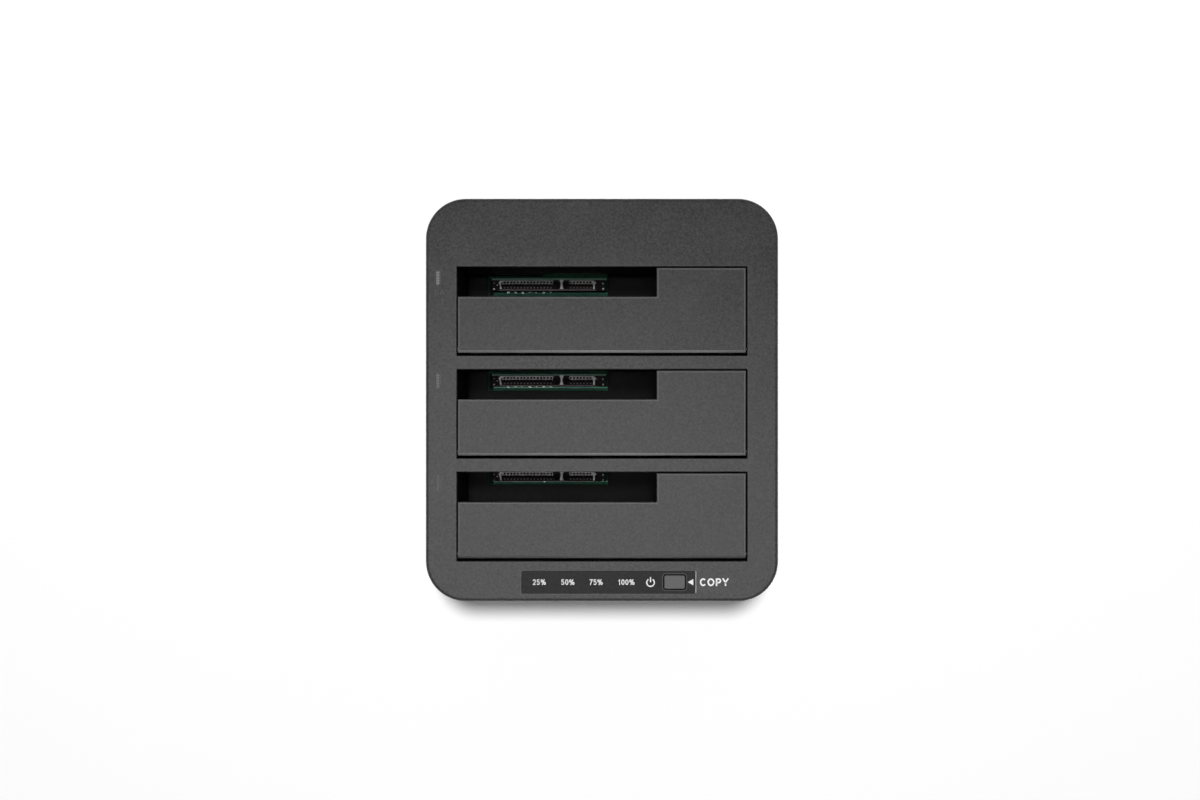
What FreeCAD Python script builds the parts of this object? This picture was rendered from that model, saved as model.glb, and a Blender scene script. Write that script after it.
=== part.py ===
import FreeCAD, Part
import math
import os

# Three-bay desktop drive duplicator, in millimetres.
# The origin is the centre of its footprint on the table, +Z is up, -Y is the front with the control strip.

# Deck and bays, seen from above
bay_count = 3
bay_width = 103.8
bay_depth = 31.9
bar_width = 4.8
side_deck = 11.1
rear_deck = 24.3
front_deck = 14.4
small_slot_width = 71.5
small_slot_depth = 10.8

# Outer shell
body_height = 64.0
corner_radius = 14.3
deck_edge_radius = 1.2
base_edge_chamfer = 1.2
wall = 2.4
deck_thickness = 2.4
opening_chamfer = 0.3
base_height = 12.0
base_floor = 2.4
seam_depth = 0.6
seam_height = 0.6
lip_height = 1.6
lip_thickness = 0.9
lip_clearance = 0.15

# Drive wells
well_wall = 1.8
well_floor = 1.8
well_floor_lift = 0.8
window_left_margin = 2.2
window_right_margin = 0.6
window_front = 7.3
window_relief = 1.2
relief_height = 5.0
rear_window_start = 19.4
rear_window_height = 16.6

# Sprung flaps
flap_gap_left = 0.4
flap_gap_right = 0.5
flap_gap_rear = 0.5
flap_gap_front = 1.0
flap_skin = 1.5
flap_rim = 1.1
flap_depth = 3.2
flap_front_radius = 1.0
flap_edge_chamfer = 0.25
rib_thickness = 0.9
rib_depth = 2.6
rib_pitch = 14.6
lug_width = 5.0
lug_radius = 1.5
lug_inset = 8.0
lug_count = 4
lug_sides = 8
bore_sides = 8
web_overlap = 0.3
spring_rib_gap = 0.6
spring_side_room = 1.25

# Hinge
rod_radius = 0.6
rod_running_gap = 0.04
rod_deck_gap = 0.05
rod_end_gap = 0.3
rod_sides = 16
hinge_setback = 2.4
stop_gap = 0.05
stop_height = 3.0
stop_rod_gap = 0.1
stop_side_gap = 0.6
stop_root = 0.5
wire_radius = 0.2
coil_radius = 1.25
coil_turns = 3.25
coil_pitch = 0.5
spring_leg = 8.0
steps_per_turn = 8
wire_sides = 5

# Main board and drive connectors
board_lift = 14.4
board_thickness = 1.6
board_edge_gap = 0.5
board_end_gap = 2.1
notch_gap = 0.9
connector_width = 44.0
connector_depth = 4.6
connector_height = 10.0
connector_chamfer = 0.3
connector_offset = 3.3
connector_from_left = 31.7
socket_width = 1.5
socket_depth = 6.4
power_socket_start = 3.3
power_socket_length = 22.4
data_socket_start = 27.5
data_socket_length = 11.8
key_length = 1.4
key_depth = 1.0
contact_pitch = 1.27
contact_width = 0.7
contact_thickness = 0.3
contact_drop = 0.8
power_contacts = 15
data_contacts = 7
post_step = 2.2
post_drop = 1.4

# Screws and their bosses
cutter_past = 1.0
small_sides = 6
large_sides = 12
corner_steps = 3
case_screw_radius = 1.5
case_screw_head = 2.8
case_screw_head_height = 2.2
case_screw_length = 12.0
small_screw_radius = 1.2
small_screw_head = 2.2
small_screw_head_height = 1.7
small_screw_length = 6.0
screw_hole_gap = 0.1
screw_tip_room = 1.0
pilot_end_wall = 0.5
head_hole_gap = 0.2
boss_wall = 1.7
post_wall = 1.4
post_seat = 7.0
post_gap = 0.1
corner_boss_side_inset = 11.2
corner_boss_end_inset = 8.0
side_boss_radius = 2.6
side_boss_offset = 3.2
side_boss_height = 5.9
ear_thickness = 2.4
board_boss_height = 8.0
board_boss_offset = 8.0

# Feet, vents and steel weight
foot_height = 2.0
foot_radius = 5.5
foot_recess = 0.8
foot_clearance = 0.15
foot_chamfer = 0.4
foot_sides = 16
foot_side_inset = 16.0
foot_end_inset = 20.0
vent_count = 9
vent_width = 2.0
vent_length = 30.0
vent_pitch = 6.0
vent_row_offset = 38.0
weight_width = 92.0
weight_depth = 40.0
weight_thickness = 3.0
weight_lift = 1.6
weight_corner = 3.0
weight_boss_radius = 4.0
weight_hole_inset = 6.0

# Control strip
strip_length = 62.1
strip_depth = 8.1
strip_thickness = 0.8
strip_radius = 0.8
strip_gap = 0.1
strip_sink = 0.1
strip_centre_x = 2.27
strip_from_bay = 7.45
legend_from_left = 6.38
legend_to_button = 8.65
legend_shares = (0.0, 0.257, 0.511, 0.783, 1.0)
light_post_width = 4.6
light_post_depth = 2.6
light_post_gap = 0.2
light_bar_thickness = 1.2
light_bar_gap = 0.1
light_bar_end = 1.0
light_air_gap = 0.4
led_height = 0.8
led_width = 1.6
led_length = 3.2

# Copy button and its switch
button_from_right = 7.37
button_length = 7.4
button_depth = 4.8
button_radius = 0.7
button_gap = 0.3
button_proud = 0.3
button_travel = 0.6
button_flange = 0.8
button_flange_thickness = 0.8
button_flange_gap = 0.1
button_crown = 0.25
button_root = 0.2
plunger_radius = 1.7
plunger_gap = 0.05
plunger_length = 2.4
switch_width = 6.0
switch_height = 3.5
switch_stand_off = 1.1
control_board_thickness = 1.6
control_board_margin = 4.6
control_board_side_gap = 0.5
control_boss_radius = 2.3
control_boss_edge = 0.2

# Drive lights beside the bays
bay_light_x = 58.6
bay_light_from_rear = 4.1
bay_light_width = 1.5
bay_light_length = 5.3
bay_light_radius = 0.6
bay_light_ribs = 4
bay_light_groove = 0.35
bay_light_flange = 0.7
bay_light_flange_thickness = 1.0
bay_light_gap = 0.1

# Ribbon cable between the two boards
ribbon_x = -6.0
ribbon_width = 12.7
ribbon_thickness = 0.9
header_length = 15.2
header_depth = 3.6
header_height = 5.0
ribbon_bend = 3.0
ribbon_shift = 1.6

# Rear ports
port_recess = 1.2
port_panel_gap = 1.6
port_panel_rim = 1.2
port_panel_radius = 1.6
port_gap = 0.2
port_sink = 0.3
usb_x = 14.0
usb_width = 12.1
usb_height = 13.0
usb_length = 17.0
usb_sheet = 0.4
usb_socket_depth = 9.0
usb_mouth_gap = 0.3
usb_rim = 1.0
usb_side_rim = 1.4
usb_roof_rim = 0.7
usb_lower_height = 7.6
usb_lower_bevel = 1.4
usb_upper_width = 5.8
usb_step_overlap = 0.5
tongue_set_back = 1.0
lower_tongue_lift = 3.6
lower_tongue_width = 5.6
lower_tongue_height = 3.2
upper_tongue_lift = 1.0
upper_tongue_width = 3.8
upper_tongue_height = 0.8
jack_x = 33.0
jack_width = 9.0
jack_height = 11.0
jack_length = 14.0
jack_bore_radius = 3.15
jack_bore_depth = 9.5
jack_back = 1.0
jack_pin_set_back = 1.5
jack_pin_radius = 1.05
jack_pin_gap = 0.02

# Rear power rocker
rocker_x = -27.0
rocker_length = 11.0
rocker_height = 6.6
rocker_gap = 0.2
rocker_tilt = 8.0
rocker_drop = 1.0
rocker_body_depth = 4.2
rocker_pin_radius = 0.8
rocker_pin_gap = 0.05
rocker_pin_length = 0.8
rocker_pivot_depth = 3.0
rocker_skirt = 1.6
rocker_back_share = 0.45
rocker_end_chamfer = 0.3
switch_body_wall = 1.1
switch_body_depth = 10.0
bezel_width = 0.9
bezel_thickness = 1.0
blade_length = 4.0
blade_width = 4.0
blade_thickness = 0.8
blade_offset = 3.4
wire_insulation_radius = 0.8
wire_offset = 2.6
insulation_sides = 6
wire_lead = 0.6
wire_bend_steps = 4
terminal_block_length = 7.6
terminal_block_depth = 5.0
terminal_block_height = 4.0

# Loose components on the main board
capacitor_radius = 3.15
capacitor_height = 7.7
inductor_side = 7.0
inductor_height = 4.0
inductor_chamfer = 1.4
controller_side = 14.0
controller_height = 1.4
component_gap = 0.9
capacitor_x = 50.0
capacitor_chamfer = 0.5
inductor_x = 25.0
controller_x = -3.0
chip_chamfer = 0.3
bridge_chip_x = -20.0
bridge_chip_side = 9.0
bridge_chip_height = 1.0

# Values worked out from the sizes above
body_width = bay_width + 2 * side_deck
body_depth = bay_count * bay_depth + (bay_count - 1) * bar_width + rear_deck + front_deck
bay_pitch = bay_depth + bar_width
rear_y = body_depth / 2
front_y = -body_depth / 2
first_bay_rear = rear_y - rear_deck
bays_front = front_y + front_deck
bay_rears = [first_bay_rear - i * bay_pitch for i in range(bay_count)]
deck_under = body_height - deck_thickness
seam_z = foot_height + base_height
inner_x = body_width / 2 - wall
inner_y = body_depth / 2 - wall
board_bottom = foot_height + board_lift
board_top = board_bottom + board_thickness
well_bottom = board_top + well_floor_lift
well_top = deck_under
hinge_z = deck_under - rod_radius - rod_deck_gap
well_outer_x = bay_width / 2 + well_wall
side_boss_x = well_outer_x + side_boss_offset
corner_boss_x = body_width / 2 - corner_boss_side_inset
corner_boss_y = body_depth / 2 - corner_boss_end_inset
boss_radius = case_screw_radius + boss_wall
post_seat_z = foot_height + post_seat
connector_left = -bay_width / 2 + connector_from_left - connector_width / 2
slot_right = -bay_width / 2 + small_slot_width
strip_y = bays_front - strip_from_bay
strip_left = strip_centre_x - strip_length / 2
strip_right = strip_centre_x + strip_length / 2
button_x = strip_right - button_from_right
first_legend_x = strip_left + legend_from_left
legend_span = button_x - legend_to_button - first_legend_x
legend_xs = [first_legend_x + share * legend_span for share in legend_shares]
strip_top = body_height - strip_sink
strip_floor = strip_top - strip_thickness
control_board_left = strip_left - control_board_margin
control_board_right = strip_right + control_board_margin
control_board_front = -inner_y + control_board_side_gap
control_board_rear = bays_front - well_wall - control_board_side_gap
control_board_y = (control_board_front + control_board_rear) / 2
button_flange_top = deck_under - button_flange_gap
plunger_top = button_flange_top - button_flange_thickness - switch_stand_off
switch_top = plunger_top - switch_stand_off
control_board_top = switch_top - switch_height
control_board_bottom = control_board_top - control_board_thickness
panel_face_y = rear_y - port_recess

V = FreeCAD.Vector
X_AXIS = V(1, 0, 0)
Y_AXIS = V(0, 1, 0)
Z_AXIS = V(0, 0, 1)


def block(x0, x1, y0, y1, z0, z1):
    return Part.makeBox(x1 - x0, y1 - y0, z1 - z0, V(x0, y0, z0))


def polygon_prism(points, z0, z1):
    corners = [V(x, y, z0) for x, y in points]
    face = Part.Face(Part.makePolygon(corners + corners[:1]))
    return face.extrude(V(0, 0, z1 - z0))


def stud(x, y, z0, z1, radius, sides=small_sides):
    """A small upright post with flat sides, its corners on the radius."""
    angles = [2 * math.pi * (i + 0.5) / sides for i in range(sides)]
    corners = [(x + radius * math.cos(a), y + radius * math.sin(a)) for a in angles]
    return polygon_prism(corners, z0, z1)


def stud_hole(x, y, z0, z1, radius, sides=small_sides):
    """The cutter for a hole that clears the radius all round."""
    return stud(x, y, z0, z1, radius / math.cos(math.pi / sides), sides)


def rounded_block(x, y, width, depth, radius, z0, z1):
    """A block with rounded upright edges, centred on x and y."""
    solid = block(x - width / 2, x + width / 2, y - depth / 2, y + depth / 2, z0, z1)
    upright = [e for e in solid.Edges if abs(e.Vertexes[0].Z - e.Vertexes[1].Z) > 1e-6]
    return solid.makeFillet(radius, upright)


def soft_outline(x, y, width, depth, radius):
    """A rectangle whose corners are rounded in a few straight steps, as a list of points."""
    points = []
    for sx, sy, start in ((1, 1, 0), (-1, 1, 90), (-1, -1, 180), (1, -1, 270)):
        for i in range(corner_steps + 1):
            angle = math.radians(start + 90 * i / corner_steps)
            points.append((x + sx * (width / 2 - radius) + radius * math.cos(angle),
                           y + sy * (depth / 2 - radius) + radius * math.sin(angle)))
    return points


def soft_block(x, y, width, depth, radius, z0, z1):
    return polygon_prism(soft_outline(x, y, width, depth, radius), z0, z1)


def cross_stud(x0, x1, y, z, radius, sides):
    """A many-sided bar along X, its flats on the radius."""
    reach = radius / math.cos(math.pi / sides)
    angles = [2 * math.pi * (i + 0.5) / sides for i in range(sides)]
    corners = [V(x0, y + reach * math.cos(a), z + reach * math.sin(a)) for a in angles]
    return Part.Face(Part.makePolygon(corners + corners[:1])).extrude(V(x1 - x0, 0, 0))


def edges_at(solid, z):
    """The edges of a solid that lie flat at one height."""
    return [e for e in solid.Edges if all(abs(v.Z - z) < 1e-6 for v in e.Vertexes)]


def joined(first, others):
    return first.fuse(others).removeSplitter()


def screw_up(x, y, seat_z, radius, head_radius, head_height, length):
    """A pan-head screw driven upwards: its head lies under seat_z."""
    head = stud(x, y, seat_z - head_height, seat_z, head_radius, small_sides)
    return joined(head, [stud(x, y, seat_z, seat_z + length, radius)])


def small_screw_up(x, y, seat_z):
    return screw_up(x, y, seat_z, small_screw_radius, small_screw_head, small_screw_head_height,
                    small_screw_length)


def save(name, solids):
    shape = solids if isinstance(solids, Part.Shape) else Part.makeCompound(solids)
    shape.exportStep(os.path.join("parts", name + ".step"))


def four_corners(x, y):
    return [(sx * x, sy * y) for sx in (-1, 1) for sy in (-1, 1)]


def side_points(y_offset):
    """Points at both sides of every bay, y_offset from the middle of the bay."""
    middles = [rear - bay_depth / 2 for rear in bay_rears]
    return [(side * side_boss_x, middle + y_offset) for middle in middles for side in (-1, 1)]


# Top housing

def light_slot(rear, margin, z0, z1):
    return soft_block(-bay_light_x, rear - bay_light_from_rear, bay_light_width + 2 * margin,
                      bay_light_length + 2 * margin, bay_light_radius + margin, z0, z1)


def port_panel(margin, y0, y1):
    """A rounded plate around the rear ports, standing upright between y0 and y1."""
    ports = port_sizes()
    half = max(max(abs(x - width / 2), abs(x + width / 2)) for x, width, low, high in ports)
    half += bezel_width + port_panel_gap + margin
    low = min(port[2] for port in ports) - bezel_width - margin
    high = max(port[3] for port in ports) + bezel_width + margin
    outline = soft_outline(0, (low + high) / 2, 2 * half, high - low, port_panel_radius + margin)
    corners = [V(x, y0, z) for x, z in outline]
    return Part.Face(Part.makePolygon(corners + corners[:1])).extrude(V(0, y1 - y0, 0))


def switch_centre_z():
    return board_top + usb_height / 2


def top_housing():
    outer = rounded_block(0, 0, body_width, body_depth, corner_radius, seam_z, body_height)
    outer = outer.makeFillet(deck_edge_radius, edges_at(outer, body_height))
    inner = rounded_block(0, 0, 2 * inner_x, 2 * inner_y, corner_radius - wall,
                          seam_z - cutter_past, deck_under)
    shell = outer.cut(inner)
    boss_low = deck_under - side_boss_height
    additions = [stud(x, y, seam_z, deck_under, boss_radius, large_sides)
                 for x, y in four_corners(corner_boss_x, corner_boss_y)]
    additions += [stud(x, y, boss_low, deck_under, side_boss_radius) for x, y in side_points(0)]
    additions += [stud(x, control_board_y, control_board_top, deck_under, control_boss_radius)
                  for x in control_screw_xs()]
    additions.append(port_panel(port_panel_rim, inner_y - port_recess, rear_y - wall / 2))
    shell = joined(shell, additions)
    shell = shell.cut([block(-bay_width / 2, bay_width / 2, rear - bay_depth, rear, deck_under - cutter_past,
                             body_height + cutter_past) for rear in bay_rears])
    rims = [e for e in edges_at(shell, body_height) if on_bay_rim(e)]
    shell = shell.makeChamfer(opening_chamfer, rims)
    depth = case_screw_length - (seam_z - post_seat_z) + screw_tip_room
    cuts = [stud_hole(x, y, seam_z - cutter_past, seam_z + depth, case_screw_radius + screw_hole_gap)
            for x, y in four_corners(corner_boss_x, corner_boss_y)]
    pilot = small_screw_radius + screw_hole_gap
    pilot_top = deck_under - pilot_end_wall
    cuts += [stud_hole(x, y, boss_low - cutter_past, pilot_top, pilot) for x, y in side_points(0)]
    cuts += [stud_hole(x, control_board_y, control_board_top - cutter_past, pilot_top, pilot)
             for x in control_screw_xs()]
    cuts += [light_slot(rear, bay_light_gap, deck_under - cutter_past, body_height + cutter_past)
             for rear in bay_rears]
    cuts.append(soft_block(strip_centre_x, strip_y, strip_length + 2 * strip_gap,
                           strip_depth + 2 * strip_gap, strip_radius, strip_floor, body_height + cutter_past))
    for x in legend_xs:
        half_x = light_post_width / 2 + light_post_gap
        half_y = light_post_depth / 2 + light_post_gap
        cuts.append(block(x - half_x, x + half_x, strip_y - half_y, strip_y + half_y,
                          deck_under - cutter_past, body_height))
    cuts.append(button_hole(deck_under - cutter_past, body_height))
    cuts.append(port_panel(0, panel_face_y, rear_y + cutter_past))
    cuts += [port_hole(x, width, low, high) for x, width, low, high in port_sizes()]
    return shell.cut(cuts)


def button_hole(z0, z1):
    """The cutter for the button's opening in the deck and in the indicator panel."""
    return soft_block(button_x, strip_y, button_length + 2 * button_gap, button_depth + 2 * button_gap,
                      button_radius + button_gap, z0, z1)


def on_bay_rim(edge):
    inside_x = all(abs(v.X) < bay_width / 2 + 1e-6 for v in edge.Vertexes)
    inside_y = all(bays_front - 1e-6 < v.Y < first_bay_rear + 1e-6 for v in edge.Vertexes)
    return inside_x and inside_y


def port_sizes():
    """x, width, lowest and highest z of the USB socket, the power jack and the rocker's body."""
    rocker_wide = 2 * rocker_cavity_half() + 2 * switch_body_wall
    rocker_high = rocker_height + 2 * rocker_gap + 2 * switch_body_wall
    middle = switch_centre_z()
    return [(usb_x, usb_width, board_top, board_top + usb_height),
            (jack_x, jack_width, board_top, board_top + jack_height),
            (rocker_x, rocker_wide, middle - rocker_high / 2, middle + rocker_high / 2)]


def port_hole(x, width, low, high):
    half = width / 2 + port_gap
    return block(x - half, x + half, inner_y - port_recess - cutter_past, rear_y + cutter_past,
                 low - port_gap, high + port_gap)


# Bottom cover, feet, case screws and steel weight

def foot_points():
    return four_corners(body_width / 2 - foot_side_inset, body_depth / 2 - foot_end_inset)


def weight_points(margin):
    return four_corners(weight_width / 2 - margin, weight_depth / 2 - margin)


def inset_block(inset, z0, z1):
    """The body's outline moved inwards by the inset."""
    return rounded_block(0, 0, body_width - 2 * inset, body_depth - 2 * inset, corner_radius - inset, z0, z1)


def bottom_cover():
    outer = rounded_block(0, 0, body_width, body_depth, corner_radius, foot_height, seam_z)
    outer = outer.makeChamfer(base_edge_chamfer, edges_at(outer, foot_height))
    step = seam_z - seam_height
    groove = inset_block(-cutter_past, step, seam_z + cutter_past)
    groove = groove.cut(inset_block(seam_depth, step - cutter_past, seam_z + 2 * cutter_past))
    lip_inset = wall + lip_clearance
    lip = inset_block(lip_inset, step - cutter_past, seam_z + lip_height)
    floor_top = foot_height + base_floor
    hollow = inset_block(lip_inset + lip_thickness, floor_top, seam_z + lip_height + cutter_past)
    tray = outer.cut(groove).fuse(lip).cut(hollow)
    post_radius = case_screw_head + head_hole_gap + post_wall
    root_z = floor_top - base_floor / 2
    additions = [stud(x, y, root_z, seam_z - post_gap, post_radius, large_sides)
                 for x, y in four_corners(corner_boss_x, corner_boss_y)]
    additions += [stud(x, y, root_z, floor_top + weight_lift, weight_boss_radius)
                  for x, y in weight_points(weight_hole_inset)]
    tray = joined(tray, additions)
    under = foot_height - cutter_past
    cuts = []
    for x, y in four_corners(corner_boss_x, corner_boss_y):
        cuts.append(stud_hole(x, y, under, post_seat_z, case_screw_head + head_hole_gap, large_sides))
        cuts.append(stud_hole(x, y, foot_height, seam_z + cutter_past, case_screw_radius + screw_hole_gap))
    cuts += [stud_hole(x, y, under, foot_height + foot_recess, foot_radius + foot_clearance, foot_sides)
             for x, y in foot_points()]
    cuts += [stud_hole(x, y, root_z, floor_top + weight_lift + cutter_past,
                       small_screw_radius + screw_hole_gap) for x, y in weight_points(weight_hole_inset)]
    for row in (-1, 1):
        for i in range(vent_count):
            x0 = (i - (vent_count - 1) / 2) * vent_pitch - vent_width / 2
            y0 = row * vent_row_offset - vent_length / 2
            cuts.append(block(x0, x0 + vent_width, y0, y0 + vent_length, under, floor_top + cutter_past))
    return tray.cut(cuts)


def rubber_foot(x, y):
    foot = stud(x, y, 0, foot_height + foot_recess, foot_radius, foot_sides)
    return foot.makeChamfer(foot_chamfer, edges_at(foot, 0))


def steel_weight():
    low = foot_height + base_floor + weight_lift
    plate = block(-weight_width / 2, weight_width / 2, -weight_depth / 2, weight_depth / 2,
                  low, low + weight_thickness)
    upright = [e for e in plate.Edges if abs(e.Vertexes[0].Z - e.Vertexes[1].Z) > 1e-6]
    plate = plate.makeChamfer(weight_corner, upright)
    hole_radius = small_screw_radius + screw_hole_gap
    return plate.cut([stud_hole(x, y, low - cutter_past, low + weight_thickness + cutter_past, hole_radius)
                      for x, y in weight_points(weight_hole_inset)])


def weight_screw(x, y):
    seat = foot_height + base_floor + weight_lift + weight_thickness
    reach = weight_thickness + weight_lift + base_floor / 2
    head = stud(x, y, seat, seat + small_screw_head_height, small_screw_head)
    return joined(head, [stud(x, y, seat - reach, seat, small_screw_radius)])


# Drive wells

def hinge_y(rear):
    return rear - bay_depth + hinge_setback


def lug_centres():
    span = bay_width - 2 * lug_inset
    return [-span / 2 + i * span / (lug_count - 1) for i in range(lug_count)]


def spring_centre():
    """The spring sits halfway between the two left-hand lugs."""
    return (lug_centres()[0] + lug_centres()[1]) / 2


def spring_half():
    """Half the room along the rod that the spring needs."""
    return coil_turns * coil_pitch / 2 + spring_side_room


def stop_ledges(rear):
    """Short ledges on the front wall, which stop the flap at deck level."""
    front = rear - bay_depth
    reach = hinge_setback - rod_radius - stop_rod_gap
    top = body_height - flap_depth - stop_gap
    centres = lug_centres()
    ledges = []
    for left, right in zip(centres[1:], centres[2:]):
        x0 = left + lug_width / 2 + stop_side_gap
        x1 = right - lug_width / 2 - stop_side_gap
        third = (x1 - x0) / 3
        ledges.append(sloped_ledge(x0 + third, x1 - third, front - stop_root, front + reach,
                                   top - stop_height, top))
    return ledges


def sloped_ledge(x0, x1, y0, y1, z0, z1):
    corners = [V(x0, y0, z0), V(x0, y1, z1 - (z1 - z0) / 3), V(x0, y1, z1), V(x0, y0, z1)]
    face = Part.Face(Part.makePolygon(corners + corners[:1]))
    return face.extrude(V(x1 - x0, 0, 0))


def ear(x, y, z0, z1):
    """A tab on the side of a well, with a rounded end around x and y."""
    side = 1 if x > 0 else -1
    start = side * (well_outer_x - well_wall / 2)
    arm = block(min(start, x), max(start, x), y - side_boss_radius, y + side_boss_radius, z0, z1)
    return arm.fuse(stud(x, y, z0, z1, side_boss_radius))


def drive_well(rear):
    front = rear - bay_depth
    middle = rear - bay_depth / 2
    half = bay_width / 2
    floor_top = well_bottom + well_floor
    solid = block(-well_outer_x, well_outer_x, front - well_wall, rear + well_wall, well_bottom, well_top)
    solid = solid.cut(block(-half, half, front, rear, floor_top, well_top + cutter_past))
    ear_top = deck_under - side_boss_height
    ear_low = ear_top - ear_thickness
    boss_y = middle - board_boss_offset
    additions = stop_ledges(rear)
    for side in (-1, 1):
        additions.append(ear(side * side_boss_x, middle, ear_low, ear_top))
        additions.append(ear(side * side_boss_x, boss_y, board_top, board_top + board_boss_height))
    solid = joined(solid, additions)
    x0 = connector_left - window_left_margin
    x1 = connector_left + connector_width + window_right_margin
    behind = rear + well_wall + cutter_past
    slot_radius = rod_radius + rod_running_gap
    y = hinge_y(rear)
    slot_end = well_outer_x + cutter_past
    cuts = [block(x0, x1, rear - window_front, rear + window_relief, well_bottom - cutter_past,
                  floor_top + cutter_past),
            block(x0, x1, rear - cutter_past, rear + window_relief, floor_top, floor_top + relief_height),
            block(connector_left + rear_window_start, x1, rear - cutter_past, behind,
                  well_bottom - cutter_past, floor_top + rear_window_height),
            cross_stud(-slot_end, slot_end, y, hinge_z, slot_radius, bore_sides),
            block(-slot_end, slot_end, y - slot_radius, y + slot_radius, hinge_z, well_top + cutter_past)]
    pilot = small_screw_radius + screw_hole_gap
    for side in (-1, 1):
        x = side * side_boss_x
        cuts.append(stud_hole(x, middle, ear_low - cutter_past, ear_top + cutter_past, pilot))
        cuts.append(stud_hole(x, boss_y, board_top - cutter_past, board_top + small_screw_length, pilot))
    return solid.cut(cuts)


# Sprung flaps with their hinge rods and springs

def flap_outline(rear, inset):
    """The L of a flap seen from above: a full-width strip, with an arm beside the small slot."""
    left = -bay_width / 2 + flap_gap_left + inset
    right = bay_width / 2 - flap_gap_right - inset
    low = rear - bay_depth + flap_gap_front + inset
    high = rear - flap_gap_rear - inset
    step_x = slot_right + inset
    step_y = rear - small_slot_depth - inset
    return [(left, low), (right, low), (right, high), (step_x, high), (step_x, step_y), (left, step_y)]


def flap_ribs(rear):
    """Cross ribs under the skin, clear of the hinge springs."""
    low = rear - bay_depth + flap_gap_front + flap_rim / 2
    z0 = body_height - rib_depth
    z1 = body_height - flap_skin / 2
    start = hinge_y(rear) + coil_radius + wire_radius + spring_rib_gap
    ribs = []
    count = int((bay_width - 2 * rib_thickness) / rib_pitch)
    for i in range(1, count + 1):
        x = -bay_width / 2 + i * rib_pitch
        deep = rear - flap_gap_rear if x - rib_thickness > slot_right else rear - small_slot_depth
        x0 = x - rib_thickness / 2
        if abs(x - spring_centre()) > spring_half() + rib_thickness / 2:
            ribs.append(block(x0, x0 + rib_thickness, start, deep - flap_rim / 2, z0, z1))
    y = rear - small_slot_depth
    ribs.append(block(slot_right + flap_rim / 2, bay_width / 2 - flap_gap_right - flap_rim / 2,
                      y - rib_thickness, y, z0, z1))
    return ribs


def bay_flap(rear):
    z0 = body_height - flap_depth
    skin_low = body_height - flap_skin
    solid = polygon_prism(flap_outline(rear, 0), z0, body_height)
    front = rear - bay_depth + flap_gap_front
    top = edges_at(solid, body_height)
    front_edge = [e for e in top if all(abs(v.Y - front) < 1e-6 for v in e.Vertexes)]
    solid = solid.makeFillet(flap_front_radius, front_edge)
    rounded = front + flap_front_radius + 1e-6
    rest = [e for e in edges_at(solid, body_height) if not all(v.Y < rounded for v in e.Vertexes)]
    solid = solid.makeChamfer(flap_edge_chamfer, rest)
    solid = solid.cut(polygon_prism(flap_outline(rear, flap_rim), z0 - cutter_past, skin_low))
    y = hinge_y(rear)
    additions = flap_ribs(rear)
    for x in lug_centres():
        x0, x1 = x - lug_width / 2, x + lug_width / 2
        additions.append(cross_stud(x0, x1, y, hinge_z, lug_radius, lug_sides))
        additions.append(block(x0, x1, y - lug_radius, y + lug_radius, hinge_z, skin_low + web_overlap))
    solid = joined(solid, additions)
    bore = rod_radius + rod_running_gap
    x = spring_centre()
    spring_room = block(x - spring_half(), x + spring_half(), front - cutter_past,
                        y + coil_radius + wire_radius + spring_rib_gap / 2, z0 - cutter_past, skin_low)
    return solid.cut([cross_stud(-bay_width / 2, bay_width / 2, y, hinge_z, bore, bore_sides), spring_room])


def hinge_rod(rear):
    half = well_outer_x - rod_end_gap
    flats = rod_radius * math.cos(math.pi / rod_sides)
    return cross_stud(-half, half, hinge_y(rear), hinge_z, flats, rod_sides)


def spring_path(rear):
    """Points along the spring: the leg under the flap, the coil around the rod, the leg down the wall."""
    y = hinge_y(rear)
    length = coil_turns * coil_pitch
    x0 = spring_centre() - length / 2
    steps = round(coil_turns * steps_per_turn)
    points = [V(x0, y + spring_leg, hinge_z + coil_radius)]
    for i in range(steps + 1):
        angle = math.pi / 2 + 2 * math.pi * coil_turns * i / steps
        x = x0 + length * i / steps
        points.append(V(x, y + coil_radius * math.cos(angle), hinge_z + coil_radius * math.sin(angle)))
    points.append(points[-1] + V(0, 0, -spring_leg))
    return points


def wire_along(points, radius, sides):
    """A wire of a few flat sides, lofted through one section at each point."""
    sections = []
    for i, point in enumerate(points):
        before = points[max(i - 1, 0)]
        after = points[min(i + 1, len(points) - 1)]
        along = (after - before).normalize()
        first = along.cross(X_AXIS).normalize()
        second = along.cross(first)
        corners = []
        for k in range(sides):
            angle = 2 * math.pi * k / sides
            corners.append(point + first * (radius * math.cos(angle)) + second * (radius * math.sin(angle)))
        sections.append(Part.makePolygon(corners + corners[:1]))
    return Part.makeLoft(sections, True, True)


def hinge_spring(rear):
    return wire_along(spring_path(rear), wire_radius, wire_sides)


# Main board with the drive connectors

def main_board():
    half_x = inner_x - board_edge_gap
    half_y = inner_y - board_end_gap
    board = block(-half_x, half_x, -half_y, half_y, board_bottom, board_top)
    notch_x = corner_boss_x - boss_radius - notch_gap
    notch_y = corner_boss_y - boss_radius - notch_gap
    under = board_bottom - cutter_past
    over = board_top + cutter_past
    cuts = [stud_hole(x, y, under, over, small_screw_radius + screw_hole_gap)
            for x, y in side_points(-board_boss_offset)]
    for sx, sy in four_corners(1, 1):
        x0, x1 = sorted((sx * notch_x, sx * (half_x + cutter_past)))
        y0, y1 = sorted((sy * notch_y, sy * (half_y + cutter_past)))
        cuts.append(block(x0, x1, y0, y1, under, over))
    return board.cut(cuts)


def sockets():
    """Start, length, contacts and key's start of the two sockets, from the connector's left end."""
    power_key = power_socket_start + power_socket_length - key_length
    return [(power_socket_start, power_socket_length, power_contacts, power_key),
            (data_socket_start, data_socket_length, data_contacts, data_socket_start)]


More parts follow.
